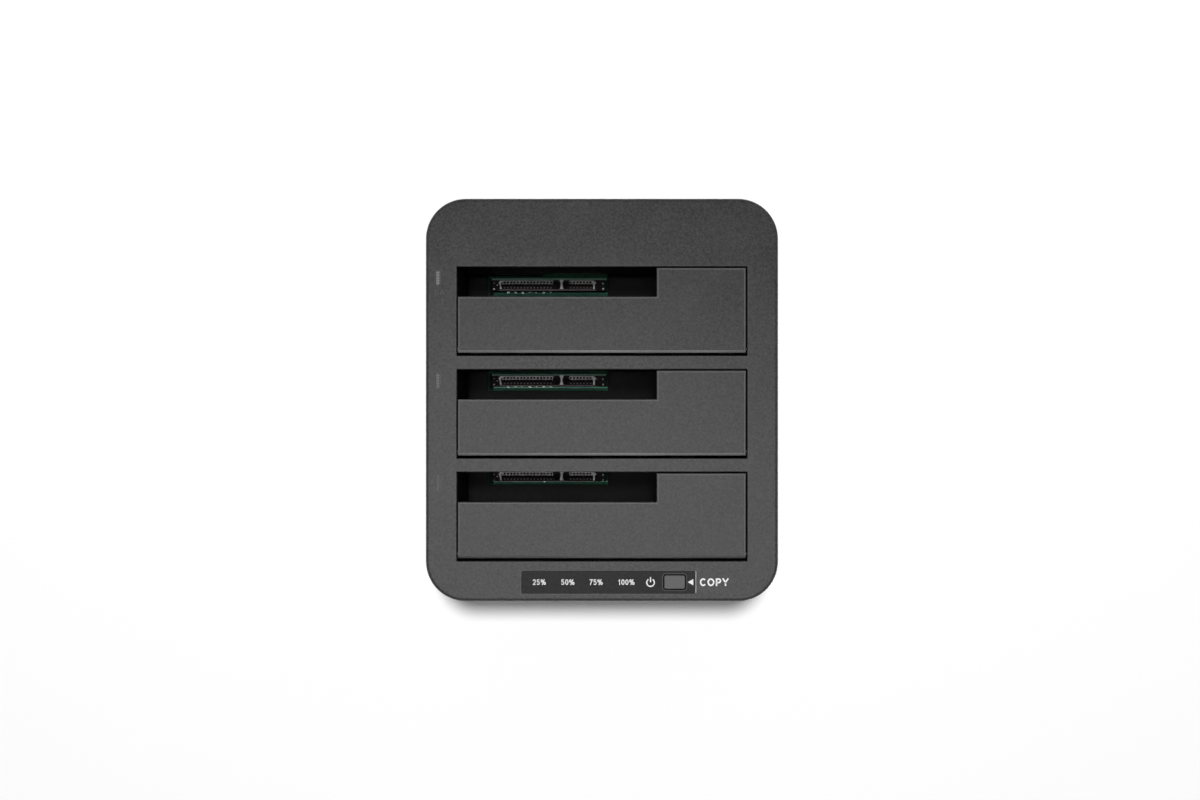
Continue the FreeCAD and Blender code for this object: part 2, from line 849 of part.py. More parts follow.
def drive_connector(rear):
    """The upright 22-pin receptacle: two L-shaped sockets between stepped end posts."""
    y = rear - connector_offset
    top = board_top + connector_height
    half = connector_depth / 2
    right = connector_left + connector_width
    solid = block(connector_left, right, y - half, y + half, board_top, top)
    solid = solid.makeChamfer(connector_chamfer, edges_at(solid, top))
    socket_low = top - socket_depth
    above = top + cutter_past
    front = y - socket_width / 2
    cuts = []
    for start, length, count, key in sockets():
        x0 = connector_left + start
        key_x = connector_left + key
        cuts.append(block(x0, x0 + length, front, y + socket_width / 2, socket_low, above))
        cuts.append(block(key_x, key_x + key_length, front - key_depth, y, socket_low, above))
    for x0, x1 in ((connector_left - cutter_past, connector_left + post_step),
                   (right - post_step, right + cutter_past)):
        cuts.append(block(x0, x1, y - half - cutter_past, y - half / 3, top - post_drop, above))
    return solid.cut(cuts)


def contact_row(rear):
    y = rear - connector_offset + socket_width / 2
    top = board_top + connector_height - contact_drop
    low = board_top + connector_height - socket_depth
    row = []
    for start, length, count, key in sockets():
        clear = start + key_length if key == start else start
        first = connector_left + clear + (length - key_length - (count - 1) * contact_pitch) / 2
        for i in range(count):
            x = first + i * contact_pitch
            x0 = x - contact_width / 2
            row.append(block(x0, x0 + contact_width, y - contact_thickness, y, low, top))
    return row


# Control board, indicator panel, copy button and its switch

def control_screw_xs():
    inset = control_boss_radius + control_boss_edge
    return (control_board_left + inset, control_board_right - inset)


def control_board():
    board = block(control_board_left, control_board_right, control_board_front, control_board_rear,
                  control_board_bottom, control_board_top)
    return board.cut([stud_hole(x, control_board_y, control_board_bottom - cutter_past,
                                control_board_top + cutter_past, small_screw_radius + screw_hole_gap)
                      for x in control_screw_xs()])


def indicator_panel():
    panel = soft_block(strip_centre_x, strip_y, strip_length, strip_depth, strip_radius - strip_gap,
                       strip_floor, strip_top)
    return panel.cut(button_hole(strip_floor - cutter_past, strip_top + cutter_past))


def indicator_light_guide():
    """One clear moulding: a bar under the deck, with a post up to and down from it at each legend."""
    bar_top = deck_under - light_bar_gap
    margin = light_post_width / 2 + light_bar_end
    bar = block(legend_xs[0] - margin, legend_xs[-1] + light_post_width / 2, strip_y - light_post_depth / 2,
                strip_y + light_post_depth / 2, bar_top - light_bar_thickness, bar_top)
    low = control_board_top + led_height + light_air_gap
    posts = [block(x - light_post_width / 2, x + light_post_width / 2, strip_y - light_post_depth / 2,
                   strip_y + light_post_depth / 2, low, strip_floor) for x in legend_xs]
    return joined(bar, posts)


def indicator_leds():
    return [block(x - led_length / 2, x + led_length / 2, strip_y - led_width / 2, strip_y + led_width / 2,
                  control_board_top, control_board_top + led_height) for x in legend_xs]


def copy_button():
    """The key: a crowned cap, a flange that keeps it under the deck, and a stem on the switch."""
    top = body_height + button_proud
    cap = soft_block(button_x, strip_y, button_length, button_depth, button_radius,
                     button_flange_top - button_root, top)
    cap = cap.makeChamfer(button_crown, edges_at(cap, top))
    half_x = button_length / 2 + button_flange
    half_y = button_depth / 2 + button_flange
    flange = block(button_x - half_x, button_x + half_x, strip_y - half_y, strip_y + half_y,
                   button_flange_top - button_flange_thickness, button_flange_top)
    stem = stud(button_x, strip_y, plunger_top, button_flange_top, plunger_radius)
    return joined(cap, [flange, stem])


def button_switch():
    half = switch_width / 2
    body = block(button_x - half, button_x + half, strip_y - half, strip_y + half,
                 control_board_top, switch_top)
    low = plunger_top - plunger_length - button_travel - plunger_gap
    return body.cut(stud_hole(button_x, strip_y, low, switch_top + cutter_past, plunger_radius + plunger_gap,
                              large_sides))


def switch_plunger():
    return stud(button_x, strip_y, plunger_top - plunger_length, plunger_top, plunger_radius, large_sides)


# Lights beside the bays

def bay_light_pipe(rear):
    low = board_top + led_height + light_air_gap
    stem = light_slot(rear, 0, low, strip_top)
    flange_top = deck_under - light_bar_gap
    flange = light_slot(rear, bay_light_flange, flange_top - bay_light_flange_thickness, flange_top)
    pipe = joined(stem, [flange])
    pitch = bay_light_length / (bay_light_ribs + 1)
    y0 = rear - bay_light_from_rear - bay_light_length / 2
    grooves = []
    for i in range(1, bay_light_ribs + 1):
        y = y0 + i * pitch
        grooves.append(block(-bay_light_x - bay_light_width, -bay_light_x + bay_light_width,
                             y - bay_light_groove / 2, y + bay_light_groove / 2,
                             strip_top - bay_light_groove, strip_top + cutter_past))
    return pipe.cut(grooves)


def bay_leds():
    half_x, half_y = led_width / 2, led_length / 2
    ys = [rear - bay_light_from_rear for rear in bay_rears]
    return [block(-bay_light_x - half_x, -bay_light_x + half_x, y - half_y, y + half_y,
                  board_top, board_top + led_height) for y in ys]


# Ribbon cable with its two headers

def ribbon_headers():
    half = header_length / 2
    rows = ((board_top, board_top + header_height, 0),
            (control_board_bottom - header_height, control_board_bottom, ribbon_shift))
    return [block(ribbon_x - half, ribbon_x + half, control_board_y - header_depth / 2 + shift,
                  control_board_y + header_depth / 2 + shift, z0, z1) for z0, z1, shift in rows]


def ribbon_cable():
    """A flat cable that rises between the headers in one gentle S."""
    low = board_top + header_height
    high = control_board_bottom - header_height
    middle = (low + high) / 2
    y0 = control_board_y
    y1 = control_board_y + ribbon_shift
    half = ribbon_thickness / 2
    route = [(y0, low), (y0, middle - ribbon_bend), (y1, middle + ribbon_bend), (y1, high)]
    left = [V(ribbon_x - ribbon_width / 2, y - half, z) for y, z in route]
    right = [V(ribbon_x - ribbon_width / 2, y + half, z) for y, z in reversed(route)]
    face = Part.Face(Part.makePolygon(left + right + left[:1]))
    return face.extrude(V(ribbon_width, 0, 0))


# Rear ports

def port_rear():
    return panel_face_y - port_sink


def usb_shell():
    y1 = port_rear()
    y0 = y1 - usb_length
    half = usb_width / 2
    z1 = board_top + usb_height
    solid = block(usb_x - half, usb_x + half, y0, y1, board_top, z1)
    half -= usb_sheet
    return solid.cut(block(usb_x - half, usb_x + half, y0 + usb_sheet, y1 + cutter_past,
                           board_top + usb_sheet, z1 - usb_sheet))


def usb_block(width, y0, y1, z0, z1):
    return block(usb_x - width / 2, usb_x + width / 2, y0, y1, z0, z1)


def usb_insert():
    """The plastic inside the shell: a stepped socket with two contact tongues."""
    y0 = port_rear() - usb_length + usb_sheet
    y1 = port_rear() - usb_mouth_gap
    width = usb_width - 2 * usb_sheet
    low = board_top + usb_sheet
    high = board_top + usb_height - usb_sheet
    deep = y1 - usb_socket_depth
    mouth = y1 + cutter_past
    floor_z = low + usb_rim
    step_z = floor_z + usb_lower_height
    lower = usb_block(width - 2 * usb_side_rim, deep, mouth, floor_z, step_z)
    along = [e for e in lower.Edges if abs(e.Vertexes[0].Y - e.Vertexes[1].Y) > 1e-6]
    lower = lower.makeChamfer(usb_lower_bevel, [e for e in along if e.Vertexes[0].Z > step_z - 1e-6])
    upper = usb_block(usb_upper_width, deep, mouth, step_z - usb_step_overlap, high - usb_roof_rim)
    tongue_end = y1 - tongue_set_back
    tongue_root = deep - cutter_past
    lower_z = floor_z + lower_tongue_lift
    upper_z = step_z + upper_tongue_lift
    tongues = [usb_block(lower_tongue_width, tongue_root, tongue_end, lower_z - lower_tongue_height / 2,
                         lower_z + lower_tongue_height / 2),
               usb_block(upper_tongue_width, tongue_root, tongue_end, upper_z - upper_tongue_height / 2,
                         upper_z + upper_tongue_height / 2)]
    return joined(usb_block(width, y0, y1, low, high).cut([lower, upper]), tongues)


def power_jack():
    y1 = port_rear()
    half = jack_width / 2
    z = board_top + jack_height / 2
    body = block(jack_x - half, jack_x + half, y1 - jack_length, y1, board_top, board_top + jack_height)
    bore = Part.makeCylinder(jack_bore_radius, jack_bore_depth + cutter_past,
                             V(jack_x, y1 - jack_bore_depth, z), Y_AXIS)
    seat_radius = (jack_pin_radius + jack_pin_gap) / math.cos(math.pi / large_sides)
    return body.cut([bore, jack_bar(seat_radius, y1)])


def jack_bar(radius, y1):
    """A many-sided bar along the jack's middle, from the back of its pin to y1."""
    z = board_top + jack_height / 2
    y0 = port_rear() - jack_length + jack_back
    angles = [2 * math.pi * (i + 0.5) / large_sides for i in range(large_sides)]
    corners = [V(jack_x + radius * math.cos(a), y0, z + radius * math.sin(a)) for a in angles]
    return Part.Face(Part.makePolygon(corners + corners[:1])).extrude(V(0, y1 - y0, 0))


def power_jack_pin():
    return jack_bar(jack_pin_radius, port_rear() - jack_pin_set_back)


# Rear power rocker

def rocker_rise():
    """How far the ends of the rocker's V face stand above its middle."""
    return rocker_length / 2 * math.tan(math.radians(rocker_tilt)) / 2


def rocker_crest():
    return rocker_pivot_depth + bezel_thickness - rocker_drop


def rocker_cavity_half():
    """Half the cavity's length: it clears the tipped rocker's corner."""
    tilt = math.radians(rocker_tilt)
    corner = rocker_length / 2 * math.cos(tilt) + (rocker_crest() + rocker_rise()) * math.sin(tilt)
    return corner + rocker_gap


def rocker_pivot():
    return V(rocker_x, panel_face_y - rocker_pivot_depth, switch_centre_z())


def switch_frame(margin, y0, y1):
    """A block around the rocker's cavity, larger by the margin on its four sides."""
    pivot = rocker_pivot()
    half_x = rocker_cavity_half() + margin
    half_z = rocker_height / 2 + rocker_gap + margin
    return block(pivot.x - half_x, pivot.x + half_x, y0, y1, pivot.z - half_z, pivot.z + half_z)


def rocker_switch_body():
    pivot = rocker_pivot()
    y1 = panel_face_y
    body = switch_frame(switch_body_wall, y1 - switch_body_depth, y1)
    bezel = switch_frame(switch_body_wall + bezel_width, y1, y1 + bezel_thickness)
    outer = [e for e in bezel.Edges if abs(e.Vertexes[0].Y - e.Vertexes[1].Y) > 1e-6]
    bezel = bezel.makeChamfer(bezel_width / 2, outer)
    cavity = switch_frame(0, pivot.y - rocker_body_depth, y1 + bezel_thickness + cutter_past)
    hole_half = rocker_height / 2 + rocker_gap + rocker_pin_length
    holes = stud_hole(pivot.x, pivot.y, pivot.z - hole_half, pivot.z + hole_half,
                      rocker_pin_radius + rocker_pin_gap, large_sides)
    return joined(body, [bezel]).cut([cavity, holes])


def power_rocker():
    """The key of the rocker, resting tipped to one side: a shallow V face on a round-backed body."""
    pivot = rocker_pivot()
    half = rocker_length / 2
    low = pivot.z - rocker_height / 2
    crest = rocker_crest()
    rise = rocker_rise()
    back = half * rocker_back_share
    profile = [V(-half, crest + rise, 0), V(0, crest, 0), V(half, crest + rise, 0),
               V(half, crest - rocker_skirt, 0), V(back, -rocker_skirt, 0), V(-back, -rocker_skirt, 0),
               V(-half, crest - rocker_skirt, 0)]
    face = Part.Face(Part.makePolygon(profile + profile[:1]))
    key = face.extrude(V(0, 0, rocker_height))
    upright = [e for e in key.Edges if abs(e.Vertexes[0].Z - e.Vertexes[1].Z) > rocker_height / 2]
    key = key.makeChamfer(rocker_end_chamfer, [e for e in upright if abs(e.Vertexes[0].X) > half - 1e-6])
    key.translate(V(pivot.x, pivot.y, low))
    pin_half = rocker_height / 2 + rocker_pin_length
    pins = stud(pivot.x, pivot.y, pivot.z - pin_half, pivot.z + pin_half, rocker_pin_radius, large_sides)
    key = joined(key, [pins])
    key.rotate(pivot, Z_AXIS, -rocker_tilt)
    return key


def switch_blades():
    y1 = panel_face_y - switch_body_depth
    low = switch_centre_z() - blade_width / 2
    starts = [rocker_x + side * blade_offset - blade_thickness / 2 for side in (-1, 1)]
    return [block(x, x + blade_thickness, y1 - blade_length, y1, low, low + blade_width) for x in starts]


def wire_bend_radius():
    """From the height of the blades down to the terminal block, the wire's straight ends with it."""
    return switch_centre_z() - board_top - terminal_block_height


def terminal_block_y():
    return panel_face_y - switch_body_depth - blade_length - wire_bend_radius()


def terminal_block():
    half = terminal_block_length / 2
    y0 = terminal_block_y() - terminal_block_depth / 2
    return block(rocker_x - half, rocker_x + half, y0, y0 + terminal_block_depth,
                 board_top, board_top + terminal_block_height)


def switch_wires():
    """Two insulated wires that leave the blades and bend down into the terminal block."""
    start_y = panel_face_y - switch_body_depth - blade_length
    z = switch_centre_z()
    bend = wire_bend_radius() - wire_lead
    route = [(start_y, z)]
    for i in range(wire_bend_steps + 1):
        angle = math.pi / 2 * i / wire_bend_steps
        route.append((start_y - wire_lead - bend * math.sin(angle), z - bend * (1 - math.cos(angle))))
    route.append((start_y - wire_bend_radius(), z - wire_bend_radius()))
    xs = [rocker_x + side * wire_offset for side in (-1, 1)]
    return [wire_along([V(x, y, level) for y, level in route], wire_insulation_radius, insulation_sides)
            for x in xs]


# Components on the main board

def rear_zone_y(depth):
    """The middle of a component that stands just behind the rear well."""
    return first_bay_rear + well_wall + component_gap + depth / 2


def capacitors():
    y = rear_zone_y(2 * capacitor_radius)
    pitch = 2 * capacitor_radius + component_gap
    xs = [capacitor_x - i * pitch for i in range(2)]
    top = board_top + capacitor_height
    cans = [stud(x, y, board_top, top, capacitor_radius, large_sides) for x in xs]
    return [can.makeChamfer(capacitor_chamfer, edges_at(can, top)) for can in cans]


def inductor():
    half = inductor_side / 2
    y = rear_zone_y(inductor_side)
    coil = block(inductor_x - half, inductor_x + half, y - half, y + half, board_top,
                 board_top + inductor_height)
    upright = [e for e in coil.Edges if abs(e.Vertexes[0].Z - e.Vertexes[1].Z) > 1e-6]
    return coil.makeChamfer(inductor_chamfer, upright)


def controller_chip():
    half = controller_side / 2
    y = rear_zone_y(controller_side)
    top = board_top + controller_height
    chip = block(controller_x - half, controller_x + half, y - half, y + half, board_top, top)
    return chip.makeChamfer(chip_chamfer, edges_at(chip, top))


def bridge_chips():
    half = bridge_chip_side / 2
    ys = [rear - bay_depth / 2 for rear in bay_rears]
    return [block(bridge_chip_x - half, bridge_chip_x + half, y - half, y + half,
                  board_bottom - bridge_chip_height, board_bottom) for y in ys]


os.makedirs("parts", exist_ok=True)

save("top_housing", top_housing())
save("bottom_cover", bottom_cover())
save("rubber_feet", [rubber_foot(x, y) for x, y in foot_points()])
save("case_screws", [screw_up(x, y, post_seat_z, case_screw_radius, case_screw_head, case_screw_head_height,
                              case_screw_length) for x, y in four_corners(corner_boss_x, corner_boss_y)])
save("steel_weight", steel_weight())
save("weight_screws", [weight_screw(x, y) for x, y in weight_points(weight_hole_inset)])
save("well_screws", [small_screw_up(x, y, deck_under - side_boss_height - ear_thickness)
                     for x, y in side_points(0)])
save("board_screws", [small_screw_up(x, y, board_bottom) for x, y in side_points(-board_boss_offset)])

for number, bay_rear in enumerate(bay_rears, 1):
    save(f"drive_well_{number}", drive_well(bay_rear))
    save(f"bay_flap_{number}", bay_flap(bay_rear))
    save(f"flap_hinge_rod_{number}", hinge_rod(bay_rear))
    save(f"flap_spring_{number}", hinge_spring(bay_rear))
    save(f"drive_connector_{number}", drive_connector(bay_rear))
    save(f"connector_contacts_{number}", contact_row(bay_rear))
    save(f"bay_light_pipe_{number}", bay_light_pipe(bay_rear))

save("main_board", main_board())
save("bay_leds", bay_leds())
save("indicator_panel", indicator_panel())
save("indicator_light_guide", indicator_light_guide())
save("indicator_leds", indicator_leds())
save("control_board", control_board())
save("control_board_screws", [small_screw_up(x, control_board_y, control_board_bottom)
                              for x in control_screw_xs()])
save("copy_button", copy_button())
save("button_switch", button_switch())
save("switch_plunger", switch_plunger())
save("ribbon_headers", ribbon_headers())
save("ribbon_cable", ribbon_cable())
save("usb_shell", usb_shell())
save("usb_insert", usb_insert())
save("power_jack", power_jack())
save("power_jack_pin", power_jack_pin())
save("rocker_switch_body", rocker_switch_body())
save("power_rocker", power_rocker())
save("switch_blades", switch_blades())
save("switch_wires", switch_wires())
save("terminal_block", terminal_block())
save("capacitors", capacitors())
save("inductor", inductor())
save("controller_chip", controller_chip())
save("bridge_chips", bridge_chips())
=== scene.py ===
import math

import bmesh
import bpy
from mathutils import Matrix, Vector


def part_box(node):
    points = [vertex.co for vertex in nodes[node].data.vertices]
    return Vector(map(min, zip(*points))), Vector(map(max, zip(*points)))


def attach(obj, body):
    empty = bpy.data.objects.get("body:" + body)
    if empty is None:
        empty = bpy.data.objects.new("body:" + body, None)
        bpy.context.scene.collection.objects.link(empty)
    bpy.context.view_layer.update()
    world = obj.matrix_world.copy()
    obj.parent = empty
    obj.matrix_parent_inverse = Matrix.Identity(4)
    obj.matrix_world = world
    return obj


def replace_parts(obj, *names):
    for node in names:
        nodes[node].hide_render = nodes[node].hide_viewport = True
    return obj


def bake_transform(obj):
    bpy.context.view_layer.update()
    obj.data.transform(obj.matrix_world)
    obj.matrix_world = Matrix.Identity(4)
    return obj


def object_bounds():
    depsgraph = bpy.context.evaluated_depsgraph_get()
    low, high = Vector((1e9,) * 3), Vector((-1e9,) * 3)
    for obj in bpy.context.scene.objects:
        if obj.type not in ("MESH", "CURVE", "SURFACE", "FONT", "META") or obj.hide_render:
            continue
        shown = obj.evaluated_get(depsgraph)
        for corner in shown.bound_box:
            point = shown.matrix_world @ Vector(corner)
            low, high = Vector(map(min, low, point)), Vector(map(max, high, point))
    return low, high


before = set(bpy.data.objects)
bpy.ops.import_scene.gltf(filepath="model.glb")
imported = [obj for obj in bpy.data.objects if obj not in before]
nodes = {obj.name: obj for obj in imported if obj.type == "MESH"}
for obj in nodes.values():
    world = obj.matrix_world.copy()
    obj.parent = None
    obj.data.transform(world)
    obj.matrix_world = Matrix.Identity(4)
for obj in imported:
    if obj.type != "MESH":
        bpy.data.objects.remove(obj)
cadLow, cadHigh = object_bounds()
scene = bpy.context.scene
mm = 0.001
bays = (1, 2, 3)


# Small helpers

def lengths(**sizes):  # sizes written in millimetres, kept in metres
    return {name: size * mm for name, size in sizes.items()}


def grey(level):  # a 0 to 255 screen grey as a linear value
    share = level / 255
    return share / 12.92 if share <= 0.04045 else ((share + 0.055) / 1.055) ** 2.4


def tint(red, green, blue):  # a screen colour as a linear one
    return (grey(red), grey(green), grey(blue), 1.0)


def addNode(tree, kind, values=None, **options):
    node = tree.nodes.new("ShaderNode" + kind)
    for key, value in options.items():
        setattr(node, key, value)
    for key, value in (values or {}).items():
        if isinstance(value, bpy.types.NodeSocket):
            tree.links.new(value, node.inputs[key])
        else:
            node.inputs[key].default_value = value
    return node


def maths(tree, operation, first, second=0.0, clamp=False):
    return addNode(tree, "Math", {0: first, 1: second}, operation=operation, use_clamp=clamp).outputs[0]


def remap(tree, value, fromLow, fromHigh, toLow=0.0, toHigh=1.0):
    return addNode(tree, "MapRange", {"Value": value, "From Min": fromLow, "From Max": fromHigh,
                                      "To Min": toLow, "To Max": toHigh}).outputs[0]


def oneOver(tree, size):
    return maths(tree, "DIVIDE", 1.0, size)


def noise(tree, place, scale, detail, rough=0.5):
    return addNode(tree, "TexNoise", {"Vector": place, "Scale": scale, "Detail": detail,
                                      "Roughness": rough}).outputs[0]


def mixColour(tree, factor, first, second):
    node = tree.nodes.new("ShaderNodeMix")
    node.data_type = "RGBA"
    for socket, value in ((node.inputs[0], factor), (node.inputs[6], first), (node.inputs[7], second)):
        if isinstance(value, bpy.types.NodeSocket):
            tree.links.new(value, socket)
        else:
            socket.default_value = value
    return node.outputs[2]


def newGroup(name, outputs, inputs):
    group = bpy.data.node_groups.new(name, "ShaderNodeTree")
    for way, sockets in (("INPUT", inputs), ("OUTPUT", dict.fromkeys(outputs, 0.0))):
        for label, value in sockets.items():
            socket = group.interface.new_socket(name=label, in_out=way, socket_type="NodeSocketFloat")
            socket.default_value = value
    start = group.nodes.new("NodeGroupInput")
    end = group.nodes.new("NodeGroupOutput")
    return group, start.outputs, end.inputs


def useGroup(tree, group, values):
    node = tree.nodes.new("ShaderNodeGroup")
    node.node_tree = group
    for key, value in values.items():
        node.inputs[key].default_value = value
    return node.outputs


def putOut(group, out, **results):
    for label, value in results.items():
        group.links.new(value, out[label])


def objectPlace(group):
    return addNode(group, "TexCoord").outputs["Object"]


# Shader groups that several finishes share

def grainGroup():  # fine moulded texture with soft, larger blotches
    group, given, out = newGroup("mouldedGrain", ("Shade", "Roughness", "Height"),
                                 {"Grain Size": 0.0004, "Blotch Size": 0.02, "Blotch Share": 0.4})
    place = objectPlace(group)
    fine = remap(group, noise(group, place, oneOver(group, given["Grain Size"]), 2.0, 0.6), 0.25, 0.75)
    blotch = remap(group, noise(group, place, oneOver(group, given["Blotch Size"]), 3.0), 0.3, 0.7)
    tone = addNode(group, "Mix", {0: given["Blotch Share"], 2: fine, 3: blotch}).outputs[0]
    putOut(group, out, Shade=tone, Roughness=blotch, Height=fine)
    return group


def edgeGroup():  # 1 on sharp outer edges, broken up in patches where hands rub it; also a painted edge highlight
    group, given, out = newGroup("rubbedEdge", ("Mask",),
                                 {"Width": 0.0004, "Patch Size": 0.006, "Coverage": 0.6})
    rounded = addNode(group, "Bevel", {"Radius": given["Width"]}, samples=4).outputs[0]
    flat = addNode(group, "NewGeometry").outputs["Normal"]
    turn = addNode(group, "VectorMath", {0: rounded, 1: flat}, operation="DOT_PRODUCT").outputs["Value"]
    edge = remap(group, turn, 0.99, 0.8)
    patch = noise(group, objectPlace(group), oneOver(group, given["Patch Size"]), 3.0)
    broken = maths(group, "ADD", patch, maths(group, "SUBTRACT", given["Coverage"], 0.5), clamp=True)
    putOut(group, out, Mask=maths(group, "MULTIPLY", edge, broken, clamp=True))
    return group


def dustGroup():  # light specks that settle on what faces up
    group, given, out = newGroup("settledDust", ("Mask",),
                                 {"Speck Size": 0.0005, "Amount": 0.3, "Drift Scale": 60.0})
    coords = addNode(group, "TexCoord").outputs
    up = addNode(group, "SeparateXYZ", {0: coords["Normal"]}).outputs["Z"]
    specks = addNode(group, "TexVoronoi", {"Vector": coords["Object"],
                                           "Scale": oneOver(group, given["Speck Size"])})
    dots = remap(group, specks.outputs["Distance"], 0.22, 0.08)
    settled = remap(group, noise(group, coords["Object"], given["Drift Scale"], 4.0), 0.45, 0.7)
    amount = maths(group, "MULTIPLY", maths(group, "MULTIPLY", dots, settled), given["Amount"])
    putOut(group, out, Mask=maths(group, "MULTIPLY", amount, remap(group, up, 0.5, 0.95), clamp=True))
    return group


def creviceGroup():  # painted shade: 1 in narrow gaps, where light doesn't reach
    group, given, out = newGroup("narrowGaps", ("Mask",), {"Reach": 0.003, "Start": 0.75, "Strength": 2.2})
    openness = addNode(group, "AmbientOcclusion", {"Distance": given["Reach"]}, samples=6).outputs["AO"]
    closed = maths(group, "SUBTRACT", given["Start"], openness, clamp=True)
    putOut(group, out, Mask=maths(group, "MULTIPLY", closed, given["Strength"], clamp=True))
    return group


def brushGroup():  # drawn or brushed metal: long thin streaks along X
    group, given, out = newGroup("brushedStreaks", ("Shade", "Roughness", "Height"),
                                 {"Streak Width": 0.0001, "Streak Length": 0.008, "Stain Scale": 90.0})
    place = objectPlace(group)
    along, across = oneOver(group, given["Streak Length"]), oneOver(group, given["Streak Width"])
    stretch = addNode(group, "CombineXYZ", {"X": along, "Y": across, "Z": across}).outputs[0]
    point = addNode(group, "VectorMath", {0: place, 1: stretch}, operation="MULTIPLY").outputs["Vector"]
    streak = noise(group, point, 1.0, 3.0)
    stain = noise(group, place, given["Stain Scale"], 3.0)
    shade, stained = remap(group, streak, 0.3, 0.7), remap(group, stain, 0.3, 0.7)
    putOut(group, out, Shade=shade, Roughness=stained, Height=streak)
    return group


def traceGroup():  # bundles of copper lines and vias under solder resist
    group, given, out = newGroup("copperTraces", ("Line", "Via", "Height"),
                                 {"Bundle Size": 0.007, "Line Pitch": 0.0009, "Line Share": 0.45,
                                  "Used Share": 0.7, "Via Scale": 330.0, "Via Share": 0.55})
    place = objectPlace(group)
    cells = addNode(group, "TexVoronoi", {"Vector": place, "Scale": oneOver(group, given["Bundle Size"])},
                    distance="CHEBYCHEV")
    draw = addNode(group, "SeparateColor", {0: cells.outputs["Color"]}).outputs
    axes = addNode(group, "SeparateXYZ", {0: place}).outputs
    lines = []
    for axis in ("X", "Y"):
        step = maths(group, "FRACT", maths(group, "DIVIDE", axes[axis], given["Line Pitch"]))
        lines.append(maths(group, "LESS_THAN", step, given["Line Share"]))
    crosswise = maths(group, "GREATER_THAN", draw["Red"], 0.5)
    routed = addNode(group, "Mix", {0: crosswise, 2: lines[0], 3: lines[1]}).outputs[0]
    line = maths(group, "MULTIPLY", routed, maths(group, "LESS_THAN", draw["Green"], given["Used Share"]))
    holes = addNode(group, "TexVoronoi", {"Vector": place, "Scale": given["Via Scale"], "Randomness": 0.7})
    drilled = maths(group, "LESS_THAN", holes.outputs["Distance"], 0.1)
    via = maths(group, "MULTIPLY", drilled, maths(group, "LESS_THAN", draw["Blue"], given["Via Share"]))
    putOut(group, out, Line=line, Via=via, Height=maths(group, "ADD", line, via))
    return group


grain, edges, dust, gapShade = grainGroup(), edgeGroup(), dustGroup(), creviceGroup()
brushed, traces = brushGroup(), traceGroup()
print("shader groups ready")


# Finishes: one dictionary of settings each

def newMaterial(name, look):
    material = bpy.data.materials.new(name)
    material.use_nodes = True
    tree = material.node_tree
    shader = next(n for n in tree.nodes if n.type == "BSDF_PRINCIPLED")
    for key, socket in (("metal", "Metallic"), ("specular", "Specular IOR Level"), ("coat", "Coat Weight"),
                        ("coatRoughness", "Coat Roughness")):
        if key in look:
            shader.inputs[socket].default_value = look[key]
    return material, tree, shader


def rubEdges(tree, look, colour):  # lighter on the edges: rubbed wear and a painted edge highlight
    if "rubbed" not in look:
        return colour
    wearAndHighlight = useGroup(tree, edges, {"Width": look["rubWidth"], "Coverage": look["rubCover"]})
    return mixColour(tree, wearAndHighlight["Mask"], colour, look["rubbed"])


def finishSurface(tree, shader, look, colour, roughTone, height, gapShadeMask=None):
    low, high = look["roughness"]
    rough = remap(tree, roughTone, 0.0, 1.0, low, high)
    if gapShadeMask:
        rough = maths(tree, "MAXIMUM", rough, gapShadeMask)  # no gloss in a gap
    tree.links.new(colour, shader.inputs["Base Color"])
    tree.links.new(rough, shader.inputs["Roughness"])
    bump = addNode(tree, "Bump", {"Height": height, "Strength": look["bump"], "Distance": look["depth"]})
    tree.links.new(bump.outputs[0], shader.inputs["Normal"])


def mouldedPlastic(name, look):
    material, tree, shader = newMaterial(name, look)
    texture = useGroup(tree, grain, {"Grain Size": look["grain"], "Blotch Size": look["blotch"],
                                     "Blotch Share": look["blotchShare"]})
    colour = rubEdges(tree, look, mixColour(tree, texture["Shade"], look["dark"], look["light"]))
    if "dust" in look:
        specks = useGroup(tree, dust, {"Amount": look["dust"]})
        colour = mixColour(tree, specks["Mask"], colour, look["dustColour"])
    gapShadeMask = None
    if "gapTone" in look:
        gapShadeMask = useGroup(tree, gapShade, {"Reach": look["gapReach"]})["Mask"]
        # painted shade: the colour darkens towards the gap tone in narrow gaps
        colour = mixColour(tree, gapShadeMask, colour, look["gapTone"])
    finishSurface(tree, shader, look, colour, texture["Roughness"], texture["Height"], gapShadeMask)
    return material


def drawnMetal(name, look):
    material, tree, shader = newMaterial(name, look)
    streaks = useGroup(tree, brushed, {"Streak Width": look["streak"], "Streak Length": look["streakLength"]})
    colour = rubEdges(tree, look, mixColour(tree, streaks["Shade"], look["dark"], look["light"]))
    finishSurface(tree, shader, look, colour, streaks["Roughness"], streaks["Height"])
    return material


def circuitBoard(name, look):
    material, tree, shader = newMaterial(name, look)
    copper = useGroup(tree, traces, {"Bundle Size": look["bundle"], "Line Pitch": look["pitch"]})
    weave = useGroup(tree, grain, {"Grain Size": look["grain"], "Blotch Size": look["blotch"],
                                   "Blotch Share": look["blotchShare"]})
    resist = mixColour(tree, weave["Shade"], look["dark"], look["light"])
    shown = maths(tree, "MULTIPLY", copper["Line"], look["copperShows"])
    lined = mixColour(tree, shown, resist, look["overCopper"])
    colour = mixColour(tree, copper["Via"], lined, look["via"])
    finishSurface(tree, shader, look, colour, weave["Roughness"], copper["Height"])
    return material


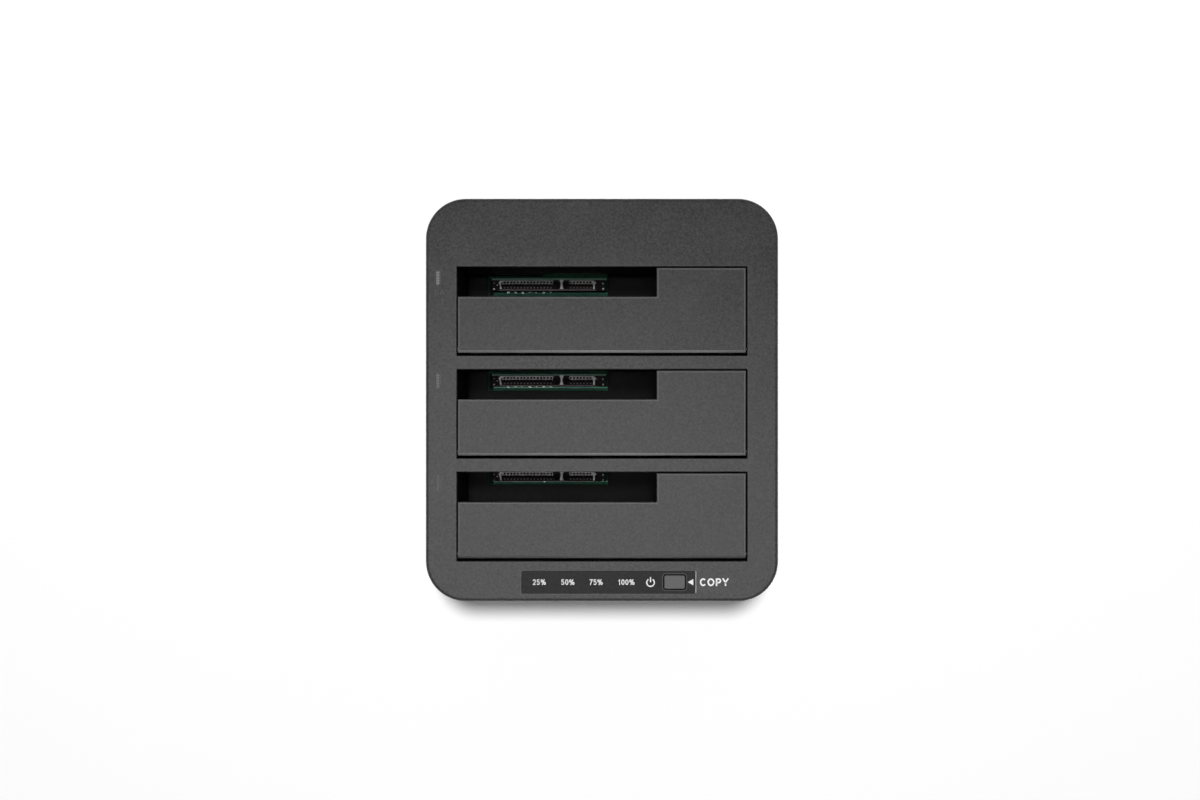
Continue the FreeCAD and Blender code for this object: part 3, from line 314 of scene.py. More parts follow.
# each finish starts from one of these and says what differs
plainPlastic = dict(grain=0.0003, blotch=0.002, blotchShare=0.5, roughness=(0.4, 0.5), specular=0.3, bump=0.2,
                    depth=0.00002, rubWidth=0.0003, rubCover=0.7, dustColour=(150, 146, 140))
coverPlastic = dict(plainPlastic, grain=0.00075, blotchShare=0.15, roughness=(0.24, 0.28), bump=0.3,
                    depth=0.00003, rubWidth=0.0004, gapTone=(4, 4, 4))
highlightPlastic = dict(plainPlastic, grain=0.0007, blotch=0.012, blotchShare=0.4, roughness=(0.28, 0.34))
lensPlastic = dict(plainPlastic, grain=0.0005, roughness=(0.35, 0.5), specular=0.4)
solderResist = dict(plainPlastic, grain=0.0006, blotch=0.006, blotchShare=0.6, roughness=(0.45, 0.6),
                    specular=0.2)
printInk = dict(plainPlastic, grain=0.0004, blotchShare=0.4, roughness=(0.5, 0.6), depth=0.00001)
plainMetal = dict(metal=1.0, roughness=(0.2, 0.32), streak=0.0001, streakLength=0.003, bump=0.1, depth=0.00001)

plasticLooks = {
    "shellPlastic": dict(coverPlastic, dark=(31, 31, 32), light=(64, 64, 65), blotch=0.016,
                         rubbed=(112, 112, 113), rubCover=0.8, dust=0.1, gapReach=0.0025),
    "flapPlastic": dict(coverPlastic, dark=(33, 33, 34), light=(63, 63, 64), blotch=0.014,
                        rubbed=(118, 118, 119), rubCover=0.9, dust=0.08, gapReach=0.003),
    "lipRear": dict(highlightPlastic, dark=(96, 96, 97), light=(124, 124, 125)),
    "lipFront": dict(highlightPlastic, dark=(66, 66, 67), light=(88, 88, 89)),
    "wellPlastic": dict(plainPlastic, dark=(15, 15, 15), light=(25, 25, 25), grain=0.0008, blotch=0.012,
                        roughness=(0.45, 0.55), specular=0.1, rubbed=(50, 50, 51),
                        rubCover=0.4, dust=0.2, gapTone=(5, 5, 5), gapReach=0.004),
    "panelPlastic": dict(plainPlastic, dark=(27, 27, 28), light=(43, 43, 44), grain=0.0007, blotch=0.02,
                         blotchShare=0.2, roughness=(0.26, 0.32), specular=0.1, bump=0.12, depth=0.00001,
                         rubbed=(84, 84, 85), rubWidth=0.0002, rubCover=0.5, gapTone=(6, 6, 6),
                         gapReach=0.0012),
    "buttonPlastic": dict(plainPlastic, dark=(80, 80, 81), light=(94, 94, 95), grain=0.0004, blotch=0.006,
                          blotchShare=0.4, roughness=(0.4, 0.48), bump=0.3, rubbed=(116, 116, 116),
                          rubCover=0.8, gapTone=(6, 6, 6), gapReach=0.0016),
    "frostedPlastic": dict(lensPlastic, dark=(70, 71, 71), light=(86, 87, 87), grain=0.0006, blotch=0.004,
                           bump=0.3, coat=0.1, coatRoughness=0.2),
    "ribPlain": dict(lensPlastic, dark=(88, 89, 89), light=(110, 111, 111)),
    "ribLit": dict(lensPlastic, dark=(104, 106, 104), light=(128, 130, 128)),
    "ledPlastic": dict(plainPlastic, dark=(205, 204, 186), light=(232, 231, 214), grain=0.0005, blotch=0.003,
                       roughness=(0.2, 0.35), specular=0.5, bump=0.1, depth=0.00001, coat=0.4,
                       coatRoughness=0.1),
    "footRubber": dict(plainPlastic, dark=(28, 28, 28), light=(46, 46, 46), grain=0.0006, blotch=0.005,
                       roughness=(0.75, 0.9), specular=0.25, bump=0.5, depth=0.00005, rubbed=(80, 79, 77),
                       rubWidth=0.0005),
    "connectorPlastic": dict(plainPlastic, dark=(15, 12, 13), light=(27, 23, 25), blotch=0.003, blotchShare=0.4,
                             roughness=(0.45, 0.6), specular=0.08, bump=0.3, rubbed=(66, 64, 66),
                             rubWidth=0.00022),
    "paleTrim": dict(plainPlastic, dark=(176, 180, 176), light=(220, 222, 219)),
    "paleTrimLit": dict(plainPlastic, dark=(220, 216, 218), light=(250, 246, 248), specular=0.5),
    "socketTeeth": dict(plainPlastic, dark=(84, 76, 80), light=(132, 120, 126), roughness=(0.5, 0.6),
                        specular=0.15),
    "socketEdge": dict(solderResist, dark=(84, 122, 108), light=(124, 156, 144), grain=0.0005, blotch=0.005),
    "boardEdge": dict(solderResist, dark=(62, 134, 112), light=(96, 168, 146)),
    "boardEdgeLit": dict(solderResist, dark=(120, 220, 188), light=(158, 242, 214), roughness=(0.4, 0.5),
                         specular=0.5),
    "boardFront": dict(solderResist, dark=(22, 66, 50), light=(56, 108, 88), grain=0.0007, blotch=0.004),
    "usbPlastic": dict(plainPlastic, dark=(28, 78, 150), light=(38, 96, 176), grain=0.0004, blotch=0.003,
                       roughness=(0.35, 0.45), specular=0.5, rubbed=(96, 140, 200), rubWidth=0.0002,
                       rubCover=0.6),
    "chipResin": dict(plainPlastic, dark=(34, 34, 35), light=(52, 52, 53), grain=0.00025, blotch=0.004,
                      blotchShare=0.4, roughness=(0.5, 0.65), specular=0.4, bump=0.4),
    "ribbonPlastic": dict(plainPlastic, dark=(150, 150, 153), light=(178, 178, 181), grain=0.001, blotch=0.01,
                          roughness=(0.45, 0.6), specular=0.4, depth=0.00003),
    "rockerPlastic": dict(plainPlastic, dark=(22, 22, 23), light=(36, 36, 37), grain=0.0005, blotch=0.004,
                          blotchShare=0.4, roughness=(0.25, 0.35), specular=0.5, depth=0.00001,
                          rubbed=(88, 88, 90)),
    "printWhite": dict(printInk, dark=(214, 214, 214), light=(244, 244, 244), grain=0.0003),
    "printGrey": dict(printInk, dark=(84, 84, 85), light=(98, 98, 99)),
    "printFaint": dict(printInk, dark=(62, 62, 63), light=(76, 76, 77), roughness=(0.35, 0.42)),
}
metalLooks = {
    "steel": dict(plainMetal, dark=(150, 152, 156), light=(196, 198, 202), roughness=(0.28, 0.45),
                  streak=0.00012, streakLength=0.006, bump=0.15, rubbed=(226, 227, 229), rubWidth=0.0002,
                  rubCover=0.7),
    "springSteel": dict(plainMetal, dark=(120, 121, 124), light=(176, 178, 182), roughness=(0.22, 0.4),
                        streak=0.00008, streakLength=0.004, bump=0.15),
    "contactMetal": dict(plainMetal, dark=(46, 42, 36), light=(72, 66, 58), metal=0.8, roughness=(0.5, 0.65),
                         streak=0.00006, streakLength=0.001, depth=0.000005),
    "portSteel": dict(plainMetal, dark=(176, 178, 182), light=(216, 218, 221), roughness=(0.18, 0.3),
                      streakLength=0.01, rubbed=(236, 237, 238), rubWidth=0.0002, rubCover=0.6),
    "capacitorCan": dict(plainMetal, dark=(186, 188, 192), light=(220, 222, 225), roughness=(0.3, 0.42)),
    "goldContact": dict(plainMetal, dark=(196, 164, 92), light=(226, 198, 128), streak=0.00006,
                        streakLength=0.002, depth=0.000005),
    "glint": dict(plainMetal, dark=(216, 226, 220), light=(244, 248, 245), metal=0.5, streak=0.0002,
                  streakLength=0.0006, bump=0.2),
    "solder": dict(plainMetal, dark=(206, 196, 200), light=(240, 232, 236), metal=0.25, roughness=(0.3, 0.45),
                   streak=0.0002, streakLength=0.0006, bump=0.3, depth=0.00002),
}
boardLook = dict(dark=(0, 54, 36), light=(2, 72, 50), overCopper=(10, 100, 70), via=(120, 122, 92),
                 copperShows=0.7, grain=0.0007, blotch=0.01, blotchShare=0.5, bundle=0.0075, pitch=0.0009,
                 roughness=(0.4, 0.55), specular=0.12, bump=0.4, depth=0.00003)


def linear(look):  # its screen colours, which are threes, as linear ones
    return {key: tint(*value) if isinstance(value, tuple) and len(value) == 3 else value
            for key, value in look.items()}


materials = {name: mouldedPlastic(name, linear(look)) for name, look in plasticLooks.items()}
materials.update({name: drawnMetal(name, linear(look)) for name, look in metalLooks.items()})
materials["boardGreen"] = circuitBoard("boardGreen", linear(boardLook))
print(len(materials), "finishes ready")

nodesOfFinish = {
    "shellPlastic": ("top_housing", "bottom_cover"), "footRubber": ("rubber_feet",),
    "steel": ("case_screws", "well_screws", "board_screws", "weight_screws", "control_board_screws",
              "steel_weight"),
    "boardGreen": ("main_board", "control_board"), "ledPlastic": ("bay_leds", "indicator_leds"),
    # the indicator light guide takes the lens finish painted brighter as if glowing
    "panelPlastic": ("indicator_panel",), "ribLit": ("indicator_light_guide",),
    "buttonPlastic": ("copy_button", "switch_plunger"), "ribbonPlastic": ("ribbon_cable",),
    "connectorPlastic": ("button_switch", "ribbon_headers", "terminal_block"),
    "portSteel": ("usb_shell",), "usbPlastic": ("usb_insert",), "capacitorCan": ("capacitors",),
    "rockerPlastic": ("power_jack", "rocker_switch_body", "power_rocker", "switch_wires"),
    "contactMetal": ("power_jack_pin", "switch_blades"),
    "chipResin": ("inductor", "controller_chip", "bridge_chips"),
}
bayFinishes = {"drive_well": "wellPlastic", "bay_flap": "flapPlastic", "flap_hinge_rod": "steel",
               "flap_spring": "springSteel", "drive_connector": "connectorPlastic",
               "connector_contacts": "contactMetal", "bay_light_pipe": "frostedPlastic"}
finishOfNode = {name: finish for finish, names in nodesOfFinish.items() for name in names}
finishOfNode.update({f"{name}_{bay}": finish for name, finish in bayFinishes.items() for bay in bays})
for name, node in nodes.items():
    node.data.materials.clear()
    node.data.materials.append(materials[finishOfNode[name]])
print(len(nodes), "CAD nodes finished")


# Mesh builders

def addObject(name, data):
    made = bpy.data.objects.new(name, data)
    scene.collection.objects.link(made)
    return made


def newMesh(name, build, material, smooth):
    mesh = bpy.data.meshes.new(name)
    shape = bmesh.new()
    build(shape)
    bmesh.ops.recalc_face_normals(shape, faces=shape.faces)
    shape.to_mesh(mesh)
    shape.free()
    if smooth:
        mesh.shade_smooth()
    mesh.materials.append(materials[material])
    return addObject(name, mesh)


def newPiece(name, build, material, body="housing", smooth=False):
    piece = newMesh(name, build, material, smooth)
    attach(piece, body)
    return piece


def addSkin(shape, first, second):  # quads between two rings of vertices
    for i in range(len(first)):
        j = (i + 1) % len(first)
        shape.faces.new((first[i], first[j], second[j], second[i]))


def addTube(shape, rings):  # skinned from ring to ring and closed at both ends
    shape.faces.new(rings[0][::-1])
    shape.faces.new(rings[-1])
    for first, second in zip(rings, rings[1:]):
        addSkin(shape, first, second)


def addPrism(shape, outline, low, high):  # an upright prism from a closed outline
    addTube(shape, [[shape.verts.new((x, y, z)) for x, y in outline] for z in (low, high)])


def addBand(shape, outer, inner, low, high):  # an upright ring between two outlines
    rings = [[shape.verts.new((x, y, z)) for x, y in outline]
             for outline, z in ((outer, low), (outer, high), (inner, high), (inner, low))]
    for first, second in zip(rings, rings[1:] + rings[:1]):
        addSkin(shape, first, second)


def addBox(shape, low, high, round=0.0):  # a box, its edges rounded where round is given
    made = bmesh.ops.create_cube(shape, size=1.0)["verts"]
    for vert in made:
        for k in range(3):
            vert.co[k] = high[k] if vert.co[k] > 0 else low[k]
    if round:
        around = list({edge for vert in made for edge in vert.link_edges})
        bmesh.ops.bevel(shape, geom=around, offset=round, segments=2, affect="EDGES", clamp_overlap=True)


def addLathe(shape, profile, x, y, steps):  # a turned form about an upright line, from radius and height pairs
    rings = []
    for radius, z in profile:
        if radius < 1e-7:
            rings.append([shape.verts.new((x, y, z))])
        else:
            around = ovalPoints(x, y, radius, radius, steps)
            rings.append([shape.verts.new((px, py, z)) for px, py in around])
    for first, second in zip(rings, rings[1:]):
        for i in range(steps):
            j = (i + 1) % steps
            corners = [ring[k % len(ring)] for ring, k in ((first, i), (first, j), (second, j), (second, i))]
            shape.faces.new(list(dict.fromkeys(corners)))


def boxPiece(name, low, high, round, material):
    newPiece(name, lambda shape: addBox(shape, low, high, round), material)


def roundedOutline(x0, x1, y0, y1, radius, steps=6):
    points = []
    for cx, cy, start in ((x1 - radius, y1 - radius, 0), (x0 + radius, y1 - radius, 90),
                          (x0 + radius, y0 + radius, 180), (x1 - radius, y0 + radius, 270)):
        for i in range(steps + 1):
            angle = math.radians(start + 90 * i / steps)
            points.append((cx + radius * math.cos(angle), cy + radius * math.sin(angle)))
    return points


def arcPoints(x, y, across, up, start, end, steps=12):  # points on part of an oval, angles in degrees
    turns = [math.radians(start + (end - start) * i / steps) for i in range(steps + 1)]
    return [(x + across * math.cos(a), y + up * math.sin(a)) for a in turns]


def ovalPoints(x, y, across, up, steps=24):  # a closed oval or circle
    return arcPoints(x, y, across, up, 0, 360 - 360 / steps, steps - 1)


def rectangle(x0, x1, y0, y1):
    return (x0, y0), (x1, y0), (x1, y1), (x0, y1)


def outlineAt(x, y, points):  # points in millimetres about a place
    return [(x + dx * mm, y + dy * mm) for dx, dy in points]


# each sign: its width, then the lines that a sign maker's pen would draw, for a height of 1
signs = {
    "0": (0.62, (arcPoints(0.31, 0.5, 0.22, 0.41, 90, 450, 24),)),
    "1": (0.46, (((0.06, 0.7), (0.18, 0.76), (0.29, 0.91), (0.29, 0.0)),)),
    "2": (0.62, (arcPoints(0.3, 0.68, 0.22, 0.23, 170, -20, 12) + [(0.42, 0.44), (0.12, 0.12), (0.12, 0.09)],
                 ((0.04, 0.09), (0.56, 0.09)))),
    "3": (0.6, (arcPoints(0.28, 0.7, 0.2, 0.21, 165, -90, 12), arcPoints(0.28, 0.29, 0.22, 0.2, 90, -165, 12))),
    "5": (0.62, (((0.54, 0.91), (0.15, 0.91), (0.11, 0.48)), arcPoints(0.3, 0.34, 0.22, 0.25, 145, -160, 14))),
    "7": (0.58, (((0.03, 0.91), (0.52, 0.91), (0.36, 0.6), (0.24, 0.28), (0.2, 0.0)),)),
    "%": (0.98, (arcPoints(0.22, 0.72, 0.14, 0.2, 90, 450, 16), arcPoints(0.76, 0.28, 0.14, 0.2, 90, 450, 16),
                 ((0.7, 1.0), (0.28, 0.0)))),
    "C": (0.8, (arcPoints(0.42, 0.5, 0.31, 0.41, 42, 318, 20),)),
    "A": (0.84, (((0.06, 0.0), (0.42, 1.0), (0.78, 0.0)), ((0.2, 0.33), (0.64, 0.33)))),
    "B": (0.7, (((0.36, 0.53), (0.13, 0.53), (0.13, 0.91), (0.36, 0.91)),
                arcPoints(0.36, 0.72, 0.2, 0.19, 90, -90, 10), ((0.36, 0.09), (0.13, 0.09), (0.13, 0.53)),
                arcPoints(0.36, 0.31, 0.26, 0.22, 90, -90, 10))),
    "O": (0.86, (arcPoints(0.43, 0.5, 0.33, 0.41, 90, 450, 24),)),
    "P": (0.72, (((0.13, 0.0), (0.13, 0.91), (0.4, 0.91)), arcPoints(0.4, 0.68, 0.2, 0.23, 90, -90, 12),
                 ((0.4, 0.45), (0.13, 0.45)))),
    "Y": (0.74, (((0.03, 1.0), (0.37, 0.46), (0.71, 1.0)), ((0.37, 0.5), (0.37, 0.0)))),
}


def addStroke(shape, points, width, low, high):  # one pen line with square ends and mitred bends
    closed = math.dist(points[0], points[-1]) < 1e-7
    line = points[:-1] if closed else points
    count = len(line)
    sides = []
    for i in range(count):
        before = line[i - 1] if closed or i else line[i]
        after = line[(i + 1) % count] if closed or i + 1 < count else line[i]
        first, second = Vector(line[i]) - Vector(before), Vector(after) - Vector(line[i])
        first = (first if first.length > 1e-9 else second).normalized()
        second = (second if second.length > 1e-9 else first).normalized()
        across = Vector((-(first.y + second.y), first.x + second.x)).normalized()
        reach = min(width / 2 / max(across.dot(Vector((-second.y, second.x))), 0.5), width)
        sides.append((Vector(line[i]) + across * reach, Vector(line[i]) - across * reach))
    for i in range(count if closed else count - 1):
        (a, b), (c, d) = sides[i], sides[(i + 1) % count]
        addPrism(shape, (a, c, d, b), low, high)


ink = lengths(sunk=0.02, raised=0.015)


def printedText(name, text, left, right, middle, height, surface, material, pen, gap=0.12):
    def letters(shape):
        total = sum(signs[sign][0] for sign in text) + gap * (len(text) - 1)
        stretch, x = (right - left) / total, left
        for sign in text:
            width, strokes = signs[sign]
            for stroke in strokes:
                line = [(x + px * stretch, middle + (py - 0.5) * height) for px, py in stroke]
                addStroke(shape, line, pen * height, surface - ink["sunk"], surface + ink["raised"])
            x += (width + gap) * stretch
    newPiece(name, letters, material)


# Control strip: legends, power symbol, arrow, and a painted highlight ring and shade band around the button

stripLow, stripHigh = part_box("indicator_panel")
buttonLow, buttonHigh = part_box("copy_button")
deckTop = cadHigh.z - 0.3 * mm  # the button stands 0.3 mm above the deck
stripPrint = lengths(middle=-65.05, height=2.05, wide=4.75, widest=5.9) | {"pen": 0.145}
stripWords = (("legend25", "25%", -22.4), ("legend50", "50%", -12.2), ("legend75", "75%", -2.1),
              ("legend100", "100%", 8.7))
for name, text, x in stripWords:
    half = stripPrint["widest" if len(text) > 3 else "wide"] / 2
    printedText(name, text, x * mm - half, x * mm + half, stripPrint["middle"], stripPrint["height"],
                stripHigh.z, "printWhite", stripPrint["pen"])

powerMark = {"gap": 34, "steps": 24} | lengths(x=17.35, y=-65.2, radius=1.36, line=0.42, barLow=0.15,
                                               barHigh=1.95)


def powerSymbol(shape):  # an open ring with a bar in its gap
    mark = powerMark
    x, y, half = mark["x"], mark["y"], mark["line"] / 2
    outer, inner = (arcPoints(x, y, radius, radius, 90 + mark["gap"], 450 - mark["gap"], mark["steps"])
                    for radius in (mark["radius"] + half, mark["radius"] - half))
    low, high = stripHigh.z - ink["raised"], stripHigh.z + ink["raised"]
    for i in range(mark["steps"]):
        addPrism(shape, (outer[i], outer[i + 1], inner[i + 1], inner[i]), low, high)
    addPrism(shape, rectangle(x - half, x + half, y + mark["barLow"], y + mark["barHigh"]), low, high)
    bmesh.ops.remove_doubles(shape, verts=shape.verts, dist=1e-7)


newPiece("powerMark", powerSymbol, "printWhite")

arrow = lengths(tip=30.65, base=32.6, half=1.12)


def arrowShape(shape):
    middle, base, half = stripPrint["middle"], arrow["base"], arrow["half"]
    addPrism(shape, ((arrow["tip"], middle), (base, middle - half), (base, middle + half)),
             stripHigh.z - ink["raised"], stripHigh.z + ink["raised"])


newPiece("copyArrow", arrowShape, "printWhite")

copyPrint = lengths(left=34.9, right=45.2, height=2.75) | {"pen": 0.2}
printedText("copyWord", "COPY", copyPrint["left"], copyPrint["right"], stripPrint["middle"],
            copyPrint["height"], deckTop, "printWhite", copyPrint["pen"])

buttonRing = lengths(flange=0.8, radius=1.1, sunk=0.02)  # the button's box includes its hidden flange
ringLines = {  # a pale ring painted as the highlight on the hole's edge, and a dark band of painted shade between it and the button
    "buttonRimHighlight": {"finish": "printGrey"} | lengths(outside=0.55, line=0.15, raised=0.02),
    "buttonShade": {"finish": "connectorPlastic"} | lengths(outside=0.32, line=0.2, raised=0.015),
}
for name, ring in ringLines.items():
    inset, line = buttonRing["flange"] - ring["outside"], ring["line"]

    def ringAround(shape):
        x0, x1 = buttonLow.x + inset, buttonHigh.x - inset
        y0, y1 = buttonLow.y + inset, buttonHigh.y - inset
        addBand(shape, roundedOutline(x0 - line, x1 + line, y0 - line, y1 + line, buttonRing["radius"] + line),
                roundedOutline(x0, x1, y0, y1, buttonRing["radius"]),
                stripHigh.z - buttonRing["sunk"], stripHigh.z + ring["raised"])

    newPiece(name, ringAround, ring["finish"])

endHighlight = lengths(outside=0.22, half=0.11, front=0.2, back=0.1, sunk=0.1, raised=0.03)
x = stripHigh.x + endHighlight["outside"]  # the thin bright bead at the right end of the strip, a painted highlight
boxPiece("stripEnd", (x - endHighlight["half"], stripLow.y + endHighlight["front"], deckTop - endHighlight["sunk"]),
         (x + endHighlight["half"], stripHigh.y - endHighlight["back"], deckTop + endHighlight["raised"]), endHighlight["raised"],
         "paleTrim")
print("control strip dressed")


# Bay numbers, printed faintly on the deck beside each slot, and the lens ribs over them

bayPrint = lengths(left=-59.9, right=-54.1, flapGap=0.5, wordBack=9.3, wordHigh=1.9, numberBack=12.5,
                   numberHigh=2.2, numberHalf=0.55) | {"pen": 0.14}
ribs = lengths(pitch=0.96, halfWide=0.62, halfDeep=0.36, sunk=0.2, raised=0.08) | {"count": 5}
for bay in bays:
    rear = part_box(f"bay_flap_{bay}")[1].y + bayPrint["flapGap"]
    centre, half = (bayPrint["left"] + bayPrint["right"]) / 2, bayPrint["numberHalf"]
    for name, text, x0, x1, key in (("bayWord", "BAY", bayPrint["left"], bayPrint["right"], "word"),
                                    ("bayNumber", str(bay), centre - half, centre + half, "number")):
        printedText(f"{name}{bay}", text, x0, x1, rear - bayPrint[key + "Back"], bayPrint[key + "High"],
                    deckTop, "printFaint", bayPrint["pen"])
    pipeLow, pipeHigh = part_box(f"bay_light_pipe_{bay}")

    def lightRibs(shape):  # the raised ribs of the lens
        x, middle = (pipeLow.x + pipeHigh.x) / 2, (pipeLow.y + pipeHigh.y) / 2
        for i in range(ribs["count"]):
            y = middle + (i - (ribs["count"] - 1) / 2) * ribs["pitch"]
            addBox(shape, (x - ribs["halfWide"], y - ribs["halfDeep"], pipeHigh.z - ribs["sunk"]),
                   (x + ribs["halfWide"], y + ribs["halfDeep"], pipeHigh.z + ribs["raised"]),
                   round=ribs["raised"])

    # the first bay's lens ribs are painted brighter, as if its lamp glows
    newPiece(f"lightRibs{bay}", lightRibs, ("ribLit", "ribPlain", "frostedPlastic")[bay - 1])
print("bay marks printed")


# Drive connectors: contact loops, light bars and dots partly painted as highlights, solder marks, and the
# board's edges, painted lit on the front two boards

trim = lengths(top=0.3, tipHigh=0.5, tipRise=0.05, loopRow=0.78, loopWide=0.66, loopDeep=0.68, holeWide=0.44,
               holeDeep=0.43, holeShift=0.06, lean=0.05, toothLeft=0.34, toothRight=0.3, toothFront=1.65,
               toothBack=1.0, toothRise=0.03, railEnd=2.0, railBack=0.25, barSunk=1.0, barRise=0.12,
               barDeep=1.8, middleBar=-15.45, markFirst=-36.3, markPitch=2.77, markFront=0.2, markRise=2.6,
               markLine=0.25, toothRound=0.05, railRound=0.03) | {"marks": 7, "markFlat": 0.85, "loopSteps": 16}
linkOutline = ((-0.12, -0.85), (0.08, -0.85), (0.2, 0.66), (-0.2, 0.66))  # between two contact loops, in mm
# hooked end bars: place along X, then the outline, in mm
endBars = ((-38.9, ((-0.1, -1.8), (0.5, -1.7), (0.2, -0.4), (0.3, 0.7), (1.2, 0.8), (1.3, 1.4), (-0.2, 1.4),
                    (-0.75, 0.5), (-0.35, -0.2))),
           (-2.95, ((-0.4, -1.8), (0.25, -1.8), (0.3, 0.0), (0.95, 0.45), (0.3, 1.1), (-0.3, 1.4), (-1.1, 1.35),
                    (-0.5, 0.6), (-0.35, -0.4))))
# waist of the middle bar: share of its depth, half width in mm
barWaist = ((-1.0, 0.72), (-0.75, 0.55), (-0.2, 0.36), (0.4, 0.4), (0.75, 0.75), (1.0, 0.8))
# dots beside the sockets: x, y from the middle and radius, in mm
dotPlaces = ((-41.35, -1.75, 0.36), (-41.3, 0.5, 0.26), (-40.1, -0.3, 0.3), (0.45, 0.3, 0.46),
             (0.5, -1.75, 0.36))
dotForm = lengths(foot=1.6, shoulder=0.15, rise=0.02, crown=0.08) | {"domeShare": 0.7, "steps": 12}
# the solder marks in front of a connector: each a few short strokes, in mm from its middle
markStrokes = (((-0.5, 0.4, 0.5, -0.4), (-0.5, -0.4, 0.1, 0.1)),
               ((-0.55, 0.45, 0.55, 0.45), (-0.3, 0.3, 0.0, -0.4)),
               ((-0.4, 0.45, -0.4, -0.4), (0.45, 0.4, -0.2, 0.0), (-0.1, 0.1, 0.4, -0.4)),
               ((-0.5, 0.4, -0.15, -0.35), (-0.15, -0.35, 0.1, 0.2), (0.1, 0.2, 0.5, -0.3)),
               ((0.45, 0.4, -0.4, 0.15), (-0.4, 0.15, -0.1, -0.4), (-0.1, -0.4, 0.4, -0.35)),
               ((-0.5, -0.2, 0.0, 0.2), (0.0, 0.2, 0.5, 0.05)),
               ((-0.4, -0.4, -0.25, 0.4), (-0.25, 0.4, 0.6, 0.4)))
brink = lengths(left=0.6, right=0.4, sunk=0.02, rearInset=0.1, rearFront=0.72, rearBack=0.02, coverLeft=1.75,
                coverRight=0.06, coverFront=1.5, coverBack=0.5, coverHigh=1.4, coverRound=0.1)
# strips along the board in front of a connector: front, back, rise and rounding, in mm
edgeStrips = ((0.75, 0.25, 0.06, 0.02),)
resistStrips = ((0.25, 0.02, 0.03, 0.01), (1.5, 0.75, 0.03, 0.01))
contactWidth = lengths(least=0.6, most=0.8)


def contactPlaces(node):  # the middle of each contact along X, read from the node
    xs = sorted({round(v.co.x, 6) for v in nodes[node].data.vertices})
    pairs = [(a, b) for a, b in zip(xs, xs[1:]) if b - a > contactWidth["least"]]
    return [(a + b) / 2 for a, b in pairs if b - a < contactWidth["most"]]


